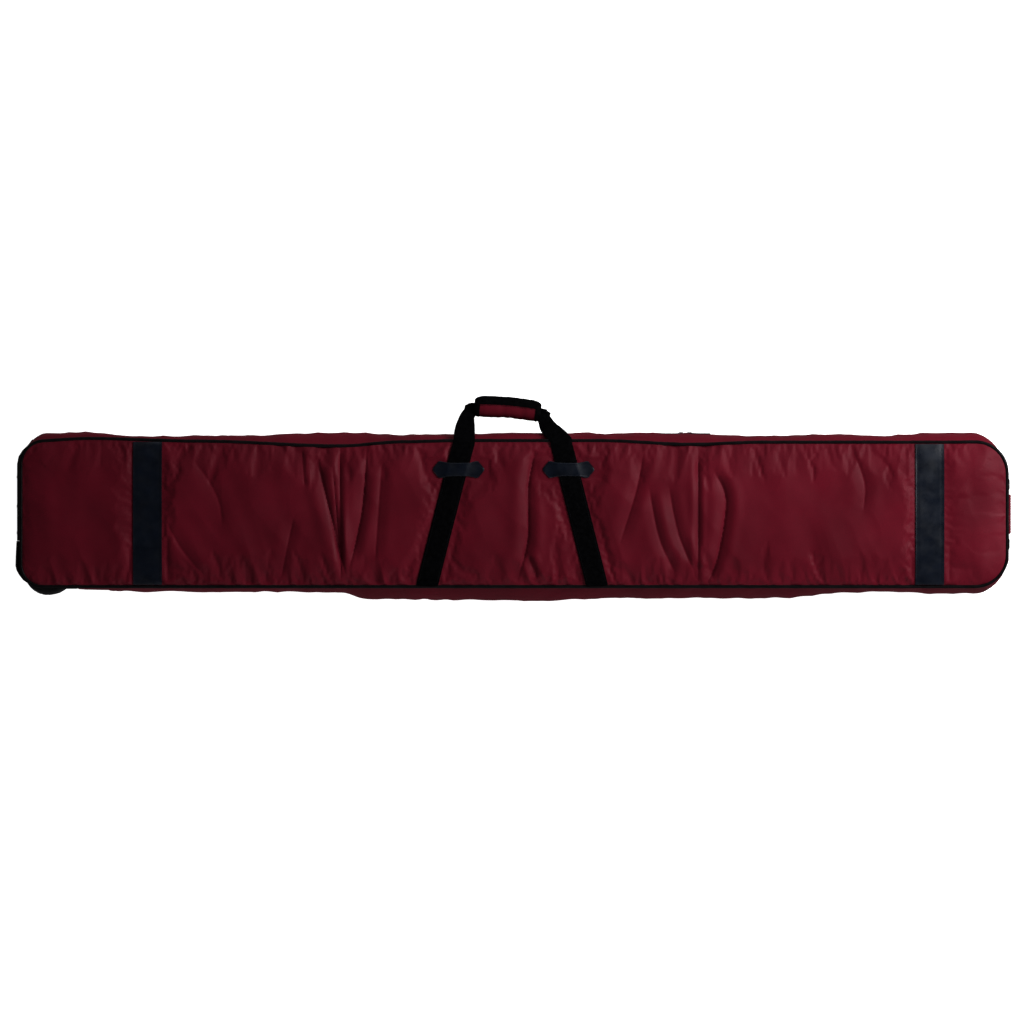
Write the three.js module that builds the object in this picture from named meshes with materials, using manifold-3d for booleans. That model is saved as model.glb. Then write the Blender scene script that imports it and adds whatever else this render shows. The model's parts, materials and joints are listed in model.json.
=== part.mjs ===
// A padded ski bag with two wheels, lying on its back panel. Millimetres, +Z up.
//
// +X runs along the bag, from the wheel end to the end with the pull handle.
// +Y points to the side with the zip and the carry handles.
// +Z points from the back panel, which rests on the ground, to the front panel, which opens as a lid.
// The origin is the centre of the back panel's resting face.
//
// The bag is a tray (back panel, gusset, wheel housing) and a lid (front panel with half of the gusset).
// They meet in a zip that runs up one end, along the top side and down the other end, and the lid folds
// about the seam at its lower edge. "Offset" is always the distance outwards from the panels' outline.

import * as THREE from "three";
import { mergeVertices } from "three/addons/utils/BufferGeometryUtils.js";
import Module from "manifold-3d";

const wasm = await Module();
wasm.setup();

// ---------------------------------------------------------------- driving dimensions

const HALF_LENGTH = 915; // the panels' outline, from the middle to an end
const HALF_HEIGHT = 132; // and from the middle to the top or bottom side
const WHEEL_END_RADIUS = 38; // its corners
const PULL_END_RADIUS = 57;
const GAP = 0.3; // between pieces that touch

const BACK_THICKNESS = 7; // quilted back panel
const BOARD_THICKNESS = 2.5;
const LINING_THICKNESS = 1.2;
const FRONT_SKIN_TOP = 121.4; // outer face of the front panel
const SKIN_THICKNESS = 1.6;
const FOAM_THICKNESS = 12;

const PIPING_RADIUS = 2.5;
const PIPING_OFFSET = PIPING_RADIUS + GAP;
const FRONT_PIPING_Z = 116.5;
const BACK_PIPING_Z = 7.4;

const GUSSET_BOTTOM = BACK_PIPING_Z + PIPING_RADIUS + GAP;
const GUSSET_TOP = FRONT_PIPING_Z - PIPING_RADIUS - GAP;
const GUSSET_UPRIGHT_FROM = 103; // above this the gusset doesn't bulge, so that the lid can fold over
const GUSSET_THICKNESS = 4;
const SEAM_OFFSET = 5; // the gusset's outer face at its seams
const BULGE = { top: 15, wheelEnd: 2, pullEnd: 5, bottomLeast: 5, bottomMost: 26 };

const ZIP_Z = 62; // the line where the teeth meet
const TAPE_WIDTH = 12;
const VALLEY = { inner: 12.5, outer: 22 }; // heights either side of the zip where its valley ends
const CHAIN_WIDTH = 3; // one side's row of teeth
const SLIDER_X = [312, 328]; // the two sliders, nose to nose

const WEBBING_WIDTH = 40;
const WEBBING_THICKNESS = 2.2;
const STRIPE_WIDTH = 53.5;
const STRIPE_X = [-682, 773];
const STRIPE_THICKNESS = 1.5;
const STRAPS = [
  { side: "left", foot: -162, keeper: -107, edge: -93 },
  { side: "right", foot: 154, keeper: 100, edge: 87 },
];
const KEEPER_Y = 83;
const KEEPER_X = { left: -103.4, right: 101.2 };

const GRIP = { length: 122, height: 38, thickness: 30, x: -12, y: 197.7, z: 62, tilt: -0.085 };

const WHEEL_X = -870;
const WHEEL_Y = -107;
const WHEEL_RADIUS = 44;
const WHEEL_WIDTH = 22;
const WELL_RADIUS = 47.5;
const WELL_WIDTH = 26;
const HOUSING_WALL = 3.4;
const WHEEL_Z = { rear_wheel: 28.4, front_wheel: 89.2 };
const GUARD = { low: 11.2, high: 47.5, lip: 0.5, wall: 3 };
const GUARD_DEPTH = { end: 4.5, full: 10 }; // from the gusset at its upper edge out to its face
const HOUSING = { right: -815, top: -50 };
// The housing's outer edge, from the guard round the corner to the bottom side.
const HOUSING_EDGE = [
  [-926.5, -50],
  [-928, -80],
  [-928.5, -96],
  [-926.5, -104.5],
  [-922, -112.5],
  [-914.5, -122.5],
  [-900, -132.5],
  [-886, -137.5],
  [-873, -139],
  [-815, -139],
];
const AXLE_RADIUS = 4;

const PULL_HANDLE_HINGE = { x: 927.5, z: 48.5 };

// ---------------------------------------------------------------- materials

function material(color, roughness, metalness = 0) {
  return new THREE.MeshStandardMaterial({ color, roughness, metalness });
}

const NYLON = material(0x5c1a26, 0.5);
const LINING = material(0x1d1c20, 0.7);
const FOAM = material(0x8f8f8c, 0.95);
const BOARD = material(0x2b2c2e, 0.6);
const WEBBING = material(0x0e0e10, 0.85);
const LEATHERETTE = material(0x1a1e25, 0.4);
const PIPING = material(0x121214, 0.45);
const ZIP_TAPE = material(0x141416, 0.8);
const HARD_PLASTIC = material(0x0d0d0f, 0.3);
const RUBBER = material(0x17171a, 0.75);
const HUB_PLASTIC = material(0x2e3034, 0.5);
const STEEL = material(0x9a9c9f, 0.3, 1);
const ZINC = material(0x6f7276, 0.35, 1);

// ---------------------------------------------------------------- geometry helpers

// A smooth step from 0 at a to 1 at b.
function smooth(a, b, x) {
  const t = Math.min(1, Math.max(0, (x - a) / (b - a)));
  return t * t * (3 - 2 * t);
}

// Turns a closed geometry's faces to point out.
function facingOut(geometry) {
  const p = geometry.getAttribute("position");
  const index = geometry.index.array;
  const [a, b, c] = [new THREE.Vector3(), new THREE.Vector3(), new THREE.Vector3()];
  let volume = 0;
  for (let i = 0; i < index.length; i += 3) {
    a.fromBufferAttribute(p, index[i]);
    b.fromBufferAttribute(p, index[i + 1]);
    c.fromBufferAttribute(p, index[i + 2]);
    volume += a.dot(b.cross(c));
  }
  if (volume < 0) {
    for (let i = 0; i < index.length; i += 3) {
      [index[i + 1], index[i + 2]] = [index[i + 2], index[i + 1]];
    }
  }
  return geometry;
}

// A solid lofted through sections. A section is { at, across, up, profile }: its points are
// at + across * u + up * v for each [u, v] of the profile, and all sections have as many points.
function loft(sections, { ring = false } = {}) {
  const count = sections[0].profile.length;
  const positions = [];
  for (const { at, across, up, profile } of sections) {
    for (const [u, v] of profile) {
      positions.push(
        ...at.clone().addScaledVector(across, u).addScaledVector(up, v).toArray(),
      );
    }
  }
  const index = [];
  const last = ring ? sections.length : sections.length - 1;
  for (let i = 0; i < last; i++) {
    const next = (i + 1) % sections.length;
    for (let j = 0; j < count; j++) {
      const k = (j + 1) % count;
      const [a, b, c, d] = [i * count + j, i * count + k, next * count + k, next * count + j];
      index.push(a, b, c, a, c, d);
    }
  }
  if (!ring) {
    cap(sections[0].profile, 0, false, index);
    cap(sections.at(-1).profile, (sections.length - 1) * count, true, index);
  }
  const geometry = new THREE.BufferGeometry();
  geometry.setAttribute("position", new THREE.Float32BufferAttribute(positions, 3));
  geometry.setIndex(index);
  return facingOut(geometry);
}

// Closes a loft's end. Forward faces run round the profile in its own order.
function cap(profile, start, forward, index) {
  const contour = profile.map(([u, v]) => new THREE.Vector2(u, v));
  const turn = Math.sign(THREE.ShapeUtils.area(contour));
  for (const [i, j, k] of THREE.ShapeUtils.triangulateShape(contour, [])) {
    const same = Math.sign(THREE.ShapeUtils.area([contour[i], contour[j], contour[k]])) === turn;
    if (same === forward) index.push(start + i, start + j, start + k);
    else index.push(start + i, start + k, start + j);
  }
}

// A flat plate: a shape drawn in X and Y, from z0 up to z1.
function plate(shape, z0, z1, curveSegments = 8) {
  const geometry = new THREE.ExtrudeGeometry(shape, {
    depth: z1 - z0,
    bevelEnabled: false,
    curveSegments,
  });
  return geometry.translate(0, 0, z0);
}

function rectangle(x0, y0, x1, y1) {
  const shape = new THREE.Shape();
  shape.moveTo(x0, y0).lineTo(x1, y0).lineTo(x1, y1).lineTo(x0, y1).closePath();
  return shape;
}

function box(x0, y0, z0, x1, y1, z1) {
  return plate(rectangle(x0, y0, x1, y1), z0, z1);
}

// An upright cylinder on (x, y), from z0 to z1.
function rod(x, y, radius, z0, z1, segments = 24) {
  const geometry = new THREE.CylinderGeometry(radius, radius, z1 - z0, segments);
  return geometry.rotateX(Math.PI / 2).translate(x, y, (z0 + z1) / 2);
}

function solid(geometry) {
  const bare = geometry.clone();
  bare.deleteAttribute("normal");
  bare.deleteAttribute("uv");
  const merged = mergeVertices(bare, 1e-4);
  return new wasm.Manifold(
    new wasm.Mesh({
      numProp: 3,
      vertProperties: new Float32Array(merged.getAttribute("position").array),
      triVerts: new Uint32Array(merged.index.array),
    }),
  );
}

function geometryOf(manifold) {
  const mesh = manifold.getMesh();
  const geometry = new THREE.BufferGeometry();
  geometry.setAttribute("position", new THREE.BufferAttribute(mesh.vertProperties, 3));
  geometry.setIndex(new THREE.BufferAttribute(mesh.triVerts, 1));
  return geometry;
}

function cut(geometry, ...tools) {
  return geometryOf(tools.reduce((rest, tool) => rest.subtract(solid(tool)), solid(geometry)));
}

function joined(...geometries) {
  return geometryOf(geometries.map(solid).reduce((a, b) => a.add(b)));
}

const bag = new THREE.Group();

function addMesh(name, geometry, finish, parent = bag) {
  const mesh = new THREE.Mesh(geometry, finish);
  mesh.name = name;
  parent.add(mesh);
  return mesh;
}

// ---------------------------------------------------------------- the panels' outline

// A station is a point on the outline with the direction that faces out of the bag there.
function station(x, y, angle) {
  return { x, y, out: new THREE.Vector2(Math.cos(angle), Math.sin(angle)) };
}

function cornerOf(end, side) {
  const radius = end > 0 ? PULL_END_RADIUS : WHEEL_END_RADIUS;
  return { x: end * (HALF_LENGTH - radius), y: side * (HALF_HEIGHT - radius), radius };
}

// The stations round one corner, from a start angle through a right angle.
function cornerStations(end, side, startDegrees, steps = 6) {
  const { x, y, radius } = cornerOf(end, side);
  return Array.from({ length: steps + 1 }, (_, i) => {
    const angle = THREE.MathUtils.degToRad(startDegrees + (90 * i) / steps);
    return station(x + radius * Math.cos(angle), y + radius * Math.sin(angle), angle);
  });
}

// Stations between two others on a straight side, without the ends.
function between(a, b, steps) {
  return Array.from({ length: steps - 1 }, (_, i) => {
    const t = (i + 1) / steps;
    return { x: a.x + (b.x - a.x) * t, y: a.y + (b.y - a.y) * t, out: a.out };
  });
}

const BOTTOM_PULL_CORNER = cornerStations(1, -1, -90);
const TOP_PULL_CORNER = cornerStations(1, 1, 0);
const TOP_WHEEL_CORNER = cornerStations(-1, 1, 90);
const BOTTOM_WHEEL_CORNER = cornerStations(-1, -1, 180);
const WHEEL_END_FOOT = station(-HALF_LENGTH, HOUSING.top + GAP, Math.PI);
const BOTTOM_START = station(HOUSING.right + GAP, -HALF_HEIGHT, -Math.PI / 2);
const PULL_END_FOOT = station(HALF_LENGTH, BOTTOM_PULL_CORNER.at(-1).y + GAP, 0);

// All the way round, for the piping.
const WHOLE_OUTLINE = [
  ...BOTTOM_PULL_CORNER,
  ...TOP_PULL_CORNER,
  ...TOP_WHEEL_CORNER,
  ...BOTTOM_WHEEL_CORNER,
];

// Up the pull end, along the top and down the wheel end to the housing, where the zip runs.
const ZIP_ROUTE = [
  PULL_END_FOOT,
  ...between(PULL_END_FOOT, TOP_PULL_CORNER[0], 3),
  ...TOP_PULL_CORNER,
  ...TOP_WHEEL_CORNER,
  ...between(TOP_WHEEL_CORNER.at(-1), WHEEL_END_FOOT, 3),
  WHEEL_END_FOOT,
];

// From the housing along the bottom side and round its other corner.
const BOTTOM_ROUTE = [
  BOTTOM_START,
  ...between(BOTTOM_START, BOTTOM_PULL_CORNER[0], 14),
  ...BOTTOM_PULL_CORNER,
];

// A rounded shape of the panels, grown by an offset.
function panelShape(offset) {
  const shape = new THREE.Shape();
  const corners = [
    [1, -1, -90],
    [1, 1, 0],
    [-1, 1, 90],
    [-1, -1, 180],
  ];
  for (const [end, side, start] of corners) {
    const { x, y, radius } = cornerOf(end, side);
    const from = THREE.MathUtils.degToRad(start);
    shape.absarc(x, y, radius + offset, from, from + Math.PI / 2, false);
  }
  return shape;
}

function panel(offset, z0, z1) {
  return plate(panelShape(offset), z0, z1, 6);
}

// ---------------------------------------------------------------- the gusset's curve

// How far the gusset bulges at a station: in one swell at the ends and along the bottom side, which
// sags most just left of its middle, and in two lobes along the top side, with the zip between them.
function bulgeAt({ x, out }) {
  const end = out.x > 0 ? BULGE.pullEnd : BULGE.wheelEnd;
  const belly = smooth(-420, -220, x) * (1 - 0.8 * smooth(430, 680, x));
  const bottom = BULGE.bottomLeast + (BULGE.bottomMost - BULGE.bottomLeast) * belly;
  return {
    swell: end * out.x ** 2 + (out.y > 0 ? 0 : bottom * out.y ** 2),
    lobes: out.y > 0 ? BULGE.top * out.y ** 6 : 0,
  };
}

// The gusset's outer face, as an offset, at a height.
function outerOffset(z, { swell = 0, lobes = 0 }) {
  if (z >= GUSSET_UPRIGHT_FROM) return SEAM_OFFSET;
  const share = (z - GUSSET_BOTTOM) / (GUSSET_UPRIGHT_FROM - GUSSET_BOTTOM);
  const arch = Math.sin(Math.PI * Math.max(0, share));
  const valley = 1 - smooth(VALLEY.inner, VALLEY.outer, Math.abs(z - ZIP_Z));
  return SEAM_OFFSET + swell * arch + lobes * (1.08 * arch ** 0.45 - 0.58 * valley);
}

const UP = new THREE.Vector3(0, 0, 1);

// Sweeps a profile of [offset, z] points, which may depend on the bulge, along a route.
function sweep(route, profileOf, options) {
  const sections = route.map((s) => ({
    at: new THREE.Vector3(s.x, s.y, 0),
    across: new THREE.Vector3(s.out.x, s.out.y, 0),
    up: UP,
    profile: profileOf(bulgeAt(s)),
  }));
  return loft(sections, options);
}

// A wall that follows the gusset's curve from z0 to z1.
function wallProfile(z0, z1, bulge, levels) {
  const heights = Array.from({ length: levels }, (_, i) => z0 + ((z1 - z0) * i) / (levels - 1));
  const outer = heights.map((z) => [outerOffset(z, bulge), z]);
  const inner = outer.map(([u, z]) => [u - GUSSET_THICKNESS, z]).reverse();
  return [...outer, ...inner];
}

// One side of the zip: a tape with the teeth as a raised rib along the edge where they meet.
function zipProfile(direction, bulge) {
  const edge = ZIP_Z + direction * (GAP / 2);
  const rib = edge + direction * CHAIN_WIDTH;
  const far = edge + direction * TAPE_WIDTH;
  const u = outerOffset(edge, bulge);
  const farU = outerOffset(far, bulge);
  return [
    [u + 0.4, edge],
    [u + 0.4, rib],
    [u - 1.2, rib],
    [farU - 1.2, far],
    [farU - 2.8, far],
    [u - 2.8, rib],
    [u - 3.4, edge],
  ];
}

// ---------------------------------------------------------------- the tray

const BOARD_TOP = BACK_THICKNESS + GAP + BOARD_THICKNESS;
const LINING_TOP = BOARD_TOP + GAP + LINING_THICKNESS;
const TAPE_EDGE = TAPE_WIDTH + 2 * GAP;

// A strap along the panel, from its foot in the bottom seam up to the keeper and on to the top edge.
function strapGeometry({ foot, keeper, edge }, z0, grow = 0) {
  const half = WEBBING_WIDTH / 2 + grow;
  const reach = HALF_HEIGHT - 0.5;
  const middle = [
    [foot, -reach],
    [keeper, KEEPER_Y],
    [edge, reach + 2],
  ];
  const sections = middle.map(([x, y]) => ({
    at: new THREE.Vector3(x, y, z0 - grow),
    across: new THREE.Vector3(1, 0, 0),
    up: UP,
    profile: [
      [-half, 0],
      [half, 0],
      [half, WEBBING_THICKNESS + 2 * grow],
      [-half, WEBBING_THICKNESS + 2 * grow],
    ],
  }));
  return loft(sections);
}

function stripeGeometry(x, z0, grow = 0) {
  const half = STRIPE_WIDTH / 2 + grow;
  const reach = HALF_HEIGHT - 1 + grow;
  return box(x - half, -reach, z0 - grow, x + half, reach, z0 + STRIPE_THICKNESS + grow);
}

function addTray() {
  const grooves = [
    ...STRAPS.map((strap) => strapGeometry(strap, 0, GAP)),
    ...STRIPE_X.map((x) => stripeGeometry(x, 0, GAP)),
  ];
  addMesh("back_panel", cut(panel(-GAP, 0, BACK_THICKNESS), ...grooves), NYLON);
  addMesh("back_board", panel(-6, BACK_THICKNESS + GAP, BOARD_TOP), BOARD);
  addMesh("back_lining", panel(-GAP, BOARD_TOP + GAP, LINING_TOP), LINING);
  for (const strap of STRAPS) {
    addMesh(`back_strap_${strap.side}`, strapGeometry(strap, 0), WEBBING);
  }
  STRIPE_X.forEach((x, i) => {
    addMesh(`back_stripe_${STRAPS[i].side}`, stripeGeometry(x, 0), LEATHERETTE);
  });
  addMesh("back_piping", pipingGeometry(BACK_PIPING_Z), PIPING);
  addMesh(
    "bottom_gusset",
    sweep(BOTTOM_ROUTE, (bulge) => wallProfile(GUSSET_BOTTOM, GUSSET_TOP, bulge, 9)),
    NYLON,
  );
  addMesh(
    "tray_gusset",
    sweep(ZIP_ROUTE, (bulge) => wallProfile(GUSSET_BOTTOM, ZIP_Z - TAPE_EDGE, bulge, 9)),
    NYLON,
  );
  addMesh("tray_zip_tape", sweep(ZIP_ROUTE, (bulge) => zipProfile(-1, bulge)), ZIP_TAPE);
}

function pipingGeometry(z) {
  const sides = 6;
  const profile = Array.from({ length: sides }, (_, i) => {
    const angle = (2 * Math.PI * i) / sides;
    return [
      PIPING_OFFSET + PIPING_RADIUS * Math.cos(angle),
      z + PIPING_RADIUS * Math.sin(angle),
    ];
  });
  return sweep(WHOLE_OUTLINE, () => profile, { ring: true });
}

// Two straps that hold skis down on the lining, each closed with hook and loop.
function addSkiStraps() {
  const width = 30;
  const reach = HALF_HEIGHT - 10;
  const positions = { ski_strap_wheel_end: -430, ski_strap_pull_end: 430 };
  for (const [name, x] of Object.entries(positions)) {
    const under = box(x - width / 2, -reach, LINING_TOP + GAP, x + width / 2, reach, LINING_TOP + 2);
    const over = box(x - width / 2, -46, LINING_TOP + 1, x + width / 2, 52, LINING_TOP + 4);
    addMesh(name, joined(under, over), WEBBING);
  }
}

// ---------------------------------------------------------------- the lid

const SKIN_BOTTOM = FRONT_SKIN_TOP - SKIN_THICKNESS;
const FOAM_BOTTOM = SKIN_BOTTOM - GAP - FOAM_THICKNESS;
const FRONT_LINING_TOP = FOAM_BOTTOM - GAP;
const ON_FRONT = FRONT_SKIN_TOP + GAP;

// A leather keeper with pointed ends, sewn to the panel on both sides of the strap that it holds.
function keeperGeometry() {
  const thickness = 1.8;
  const bridge = WEBBING_THICKNESS + 2 * GAP;
  const outline = [
    [-47, 1.5, 0],
    [-36, 15.5, 0],
    [-31, 14.4, 0],
    [-26.5, 13, bridge],
    [0, 11.5, bridge],
    [26.5, 13, bridge],
    [31, 14.4, 0],
    [36, 15.5, 0],
    [47, 1.5, 0],
  ];
  const sections = outline.map(([x, half, lift]) => ({
    at: new THREE.Vector3(x, 0, lift),
    across: new THREE.Vector3(0, 1, 0),
    up: UP,
    profile: [
      [-half, 0],
      [half, 0],
      [half, thickness],
      [-half, thickness],
    ],
  }));
  return loft(sections);
}

function addLid() {
  addMesh("front_panel", panel(-GAP, SKIN_BOTTOM, FRONT_SKIN_TOP), NYLON);
  addMesh("front_foam", panel(-GAP, FOAM_BOTTOM, SKIN_BOTTOM - GAP), FOAM);
  addMesh(
    "front_lining",
    panel(-GAP, FRONT_LINING_TOP - LINING_THICKNESS, FRONT_LINING_TOP),
    LINING,
  );
  addMesh("front_piping", pipingGeometry(FRONT_PIPING_Z), PIPING);
  addMesh(
    "lid_gusset",
    sweep(ZIP_ROUTE, (bulge) => wallProfile(ZIP_Z + TAPE_EDGE, GUSSET_TOP, bulge, 9)),
    NYLON,
  );
  addMesh("lid_zip_tape", sweep(ZIP_ROUTE, (bulge) => zipProfile(1, bulge)), ZIP_TAPE);
  for (const strap of STRAPS) {
    addMesh(`front_strap_${strap.side}`, strapGeometry(strap, ON_FRONT), WEBBING);
    const keeper = addMesh(`keeper_${strap.side}`, keeperGeometry(), LEATHERETTE);
    keeper.position.set(KEEPER_X[strap.side], KEEPER_Y, ON_FRONT);
  }
  STRIPE_X.forEach((x, i) => {
    addMesh(`front_stripe_${STRAPS[i].side}`, stripeGeometry(x, ON_FRONT), LEATHERETTE);
  });
}

// ---------------------------------------------------------------- the carry handles

// The free part of the front handle's webbing: its middle line, half its width, and how far it
// has turned from lying along the slope of the legs (0) to lying level in the grip (1).
const HANDLE_LINE = [
  { x: -93, y: 135, z: 122.8, half: 20, level: 0 },
  { x: -92.8, y: 151, z: 106.5, half: 19.2, level: 0 },
  { x: -92, y: 166, z: 91, half: 17.6, level: 0.1 },
  { x: -91.4, y: 177.5, z: 79.5, half: 15.4, level: 0.3 },
  { x: -90, y: 188, z: 70.5, half: 13.2, level: 0.6 },
  { x: -84.5, y: 197, z: 66, half: 12, level: 0.9 },
  { x: -75.3, y: 203.1, z: 64.2, half: 11.5, level: 1 },
  { x: 51.3, y: 192.3, z: 64.2, half: 11.5, level: 1 },
  { x: 59.5, y: 186, z: 66, half: 12, level: 0.9 },
  { x: 64, y: 177.5, z: 71, half: 13.5, level: 0.6 },
  { x: 68, y: 168, z: 81, half: 16, level: 0.3 },
  { x: 75, y: 158, z: 95, half: 18.5, level: 0.1 },
  { x: 82, y: 147, z: 109, half: 19.6, level: 0 },
  { x: 87, y: 135, z: 122.8, half: 20, level: 0 },
];

// A flat ribbon along a line of points. faceOf gives the way its flat face looks at each point.
// Square ends are cut along X, where the line carries on in a strap that lies on a panel.
function ribbon(line, thickness, faceOf, squareEnds = false) {
  const points = line.map(({ x, y, z }) => new THREE.Vector3(x, y, z));
  const sections = line.map((spot, i) => {
    const before = points[Math.max(0, i - 1)];
    const after = points[Math.min(points.length - 1, i + 1)];
    const along = after.clone().sub(before);
    if (squareEnds && (i === 0 || i === line.length - 1)) along.x = 0;
    along.normalize();
    const across = new THREE.Vector3().crossVectors(faceOf(spot), along).normalize();
    const up = new THREE.Vector3().crossVectors(along, across).normalize();
    const t = thickness / 2;
    return {
      at: points[i],
      across,
      up,
      profile: [
        [-spot.half, -t],
        [spot.half, -t],
        [spot.half, t],
        [-spot.half, t],
      ],
    };
  });
  return loft(sections);
}

// The back handle is the front one mirrored about the bag's middle plane.
function handleGeometry(mirrored) {
  const hingeSum = HANDLE_LINE[0].z + WEBBING_THICKNESS / 2;
  const line = HANDLE_LINE.map((spot) => ({ ...spot, z: mirrored ? hingeSum - spot.z : spot.z }));
  const slope = mirrored ? -1 : 1;
  const face = ({ level }) => new THREE.Vector3(0, 1 - level, slope * (1 - level) + level);
  return ribbon(line, WEBBING_THICKNESS, face, true);
}

// The padded wrap, a channel that is open below so that the back handle can drop out of it. Its lips
// flare along the two arcs that the webbing leaves by.
function gripGeometry() {
  const halfY = GRIP.height / 2;
  const halfZ = GRIP.thickness / 2;
  const slot = 13.4;
  const roof = 4.4; // the channel's roof, above the grip's middle
  const corner = 9;
  const shape = new THREE.Shape();
  shape.moveTo(-halfY, -3.6);
  shape.lineTo(-halfY, halfZ - corner);
  shape.quadraticCurveTo(-halfY, halfZ, -halfY + corner, halfZ);
  shape.lineTo(halfY - corner, halfZ);
  shape.quadraticCurveTo(halfY, halfZ, halfY, halfZ - corner);
  shape.lineTo(halfY, -7);
  shape.lineTo(slot + 4, -6.3);
  shape.lineTo(slot, -0.3);
  shape.lineTo(slot, roof);
  shape.lineTo(-slot, roof);
  shape.lineTo(-slot, -0.3);
  shape.lineTo(-slot - 4, -3);
  shape.closePath();
  const geometry = plate(shape, -GRIP.length / 2, GRIP.length / 2, 4);
  // The shape's X and Y become the bag's Y and Z, and the extrusion runs along X.
  geometry.applyMatrix4(
    new THREE.Matrix4().makeBasis(
      new THREE.Vector3(0, 1, 0),
      new THREE.Vector3(0, 0, 1),
      new THREE.Vector3(1, 0, 0),
    ),
  );
  return geometry;
}

function addCarryHandles() {
  addMesh("front_handle_webbing", handleGeometry(false), WEBBING);
  addMesh("back_handle_webbing", handleGeometry(true), WEBBING);
  const grip = addMesh("grip_wrap", gripGeometry(), NYLON);
  grip.position.set(GRIP.x, GRIP.y, GRIP.z);
  grip.rotation.z = GRIP.tilt;
}

// ---------------------------------------------------------------- the zip's sliders

// A slider, drawn with its chain along X, its wide nose towards -X and its outer side up.
function sliderGeometry() {
  const body = new THREE.Shape();
  body.moveTo(7.5, -3.6).lineTo(7.5, 3.6).lineTo(-3, 6);
  body.lineTo(-7.5, 4.5).lineTo(-7.5, -4.5).lineTo(-3, -6).closePath();
  const arch = new THREE.Shape();
  arch.moveTo(-5, -0.5).lineTo(-5, 2.6).quadraticCurveTo(-5, 4.6, -3, 4.6);
  arch.lineTo(3, 4.6).quadraticCurveTo(5, 4.6, 5, 2.6).lineTo(5, -0.5);
  arch.lineTo(3.6, -0.5).lineTo(3.6, 3.2).lineTo(-3.6, 3.2).lineTo(-3.6, -0.5).closePath();
  const bail = plate(arch, -1.6, 1.6, 4).rotateX(Math.PI / 2).translate(0, 0, 3);
  return joined(plate(body, 0, 3), bail);
}

// A pull tab, hinged on the origin and reaching along +X, with a window that the bail passes through.
function pullGeometry() {
  const outline = new THREE.Shape();
  outline.moveTo(-0.9, -5).lineTo(6, -5.5).lineTo(33, -6.5);
  outline.absarc(33, 0, 6.5, -Math.PI / 2, Math.PI / 2, false);
  outline.lineTo(6, 5.5).lineTo(-0.9, 5).closePath();
  const window = new THREE.Path();
  window.moveTo(0.9, -2.4).lineTo(8.4, -2.4).lineTo(8.4, 2.4).lineTo(0.9, 2.4).closePath();
  outline.holes.push(window);
  return plate(outline, -0.8, 0.8, 4);
}

function addSliders() {
  const chainY = HALF_HEIGHT + outerOffset(ZIP_Z, { lobes: BULGE.top }) + 0.4;
  const clearance = 1; // lets the lid's teeth swing past
  ["left", "right"].forEach((side, i) => {
    const group = new THREE.Group();
    group.position.set(SLIDER_X[i], chainY + clearance, ZIP_Z);
    group.rotation.x = -Math.PI / 2; // outer side towards +Y
    if (side === "left") group.rotation.z = Math.PI; // noses towards each other
    bag.add(group);
    addMesh(`slider_${side}`, sliderGeometry(), ZINC, group);
    const pull = addMesh(`pull_tab_${side}`, pullGeometry(), LEATHERETTE, group);
    pull.position.z = 4.5;
  });
}

// ---------------------------------------------------------------- the wheel end

// The corner block's outline, drawn inwards by an inset on its outer edge.
function housingShape(inset) {
  const points = HOUSING_EDGE.map(([x, y]) => new THREE.Vector2(x, y));
  const shape = new THREE.Shape();
  shape.moveTo(HOUSING.right, HOUSING.top);
  points.forEach((point, i) => {
    const before = points[Math.max(0, i - 1)];
    const after = points[Math.min(points.length - 1, i + 1)];
    const along = after.clone().sub(before).normalize();
    shape.lineTo(point.x - along.y * inset, i === 0 ? point.y : point.y + along.x * inset);
  });
  shape.closePath();
  return shape;
}

function housingGeometry() {
  const low = LINING_TOP + GAP;
  const high = FRONT_LINING_TOP - LINING_THICKNESS - GAP;
  const region = solid(plate(housingShape(0), GUSSET_BOTTOM, GUSSET_TOP, 8));
  const inner = solid(plate(housingShape(HOUSING_WALL), 0, 200, 8));
  const belowPanels = solid(panel(GAP, 0, low));
  const abovePanels = solid(panel(GAP, high, 200));
  let body = region.subtract(inner).subtract(belowPanels).subtract(abovePanels);
  for (const z of Object.values(WHEEL_Z)) {
    const [z0, z1] = [z - WELL_WIDTH / 2, z + WELL_WIDTH / 2];
    const web = [z0 - HOUSING_WALL, z1].map((w) => plate(housingShape(0), w, w + HOUSING_WALL, 8));
    const arch = solid(rod(WHEEL_X, WHEEL_Y, WELL_RADIUS + HOUSING_WALL, z0 - 1, z1 + 1, 40));
    body = body.add(solid(web[0])).add(solid(web[1])).add(arch.intersect(region));
    body = body.subtract(solid(rod(WHEEL_X, WHEEL_Y, WELL_RADIUS, z0, z1, 40)));
  }
  return geometryOf(body.subtract(solid(rod(WHEEL_X, WHEEL_Y, AXLE_RADIUS + GAP, 0, 200))));
}

// Half a profile of [radius, height] points, turned about the wheel's own axis.
function turned(profile, segments = 28) {
  const points = profile.map(([r, h]) => new THREE.Vector2(r, h));
  return new THREE.LatheGeometry([...points, points[0]], segments).rotateX(Math.PI / 2);
}

function tyreGeometry() {
  const [inner, half] = [28 + GAP, WHEEL_WIDTH / 2];
  return turned([
    [inner, -half + 2],
    [36, -half],
    [41, -half + 3],
    [43.4, -half + 7],
    [WHEEL_RADIUS, 0],
    [43.4, half - 7],
    [41, half - 3],
    [36, half],
    [inner, half - 2],
  ]);
}

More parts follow.
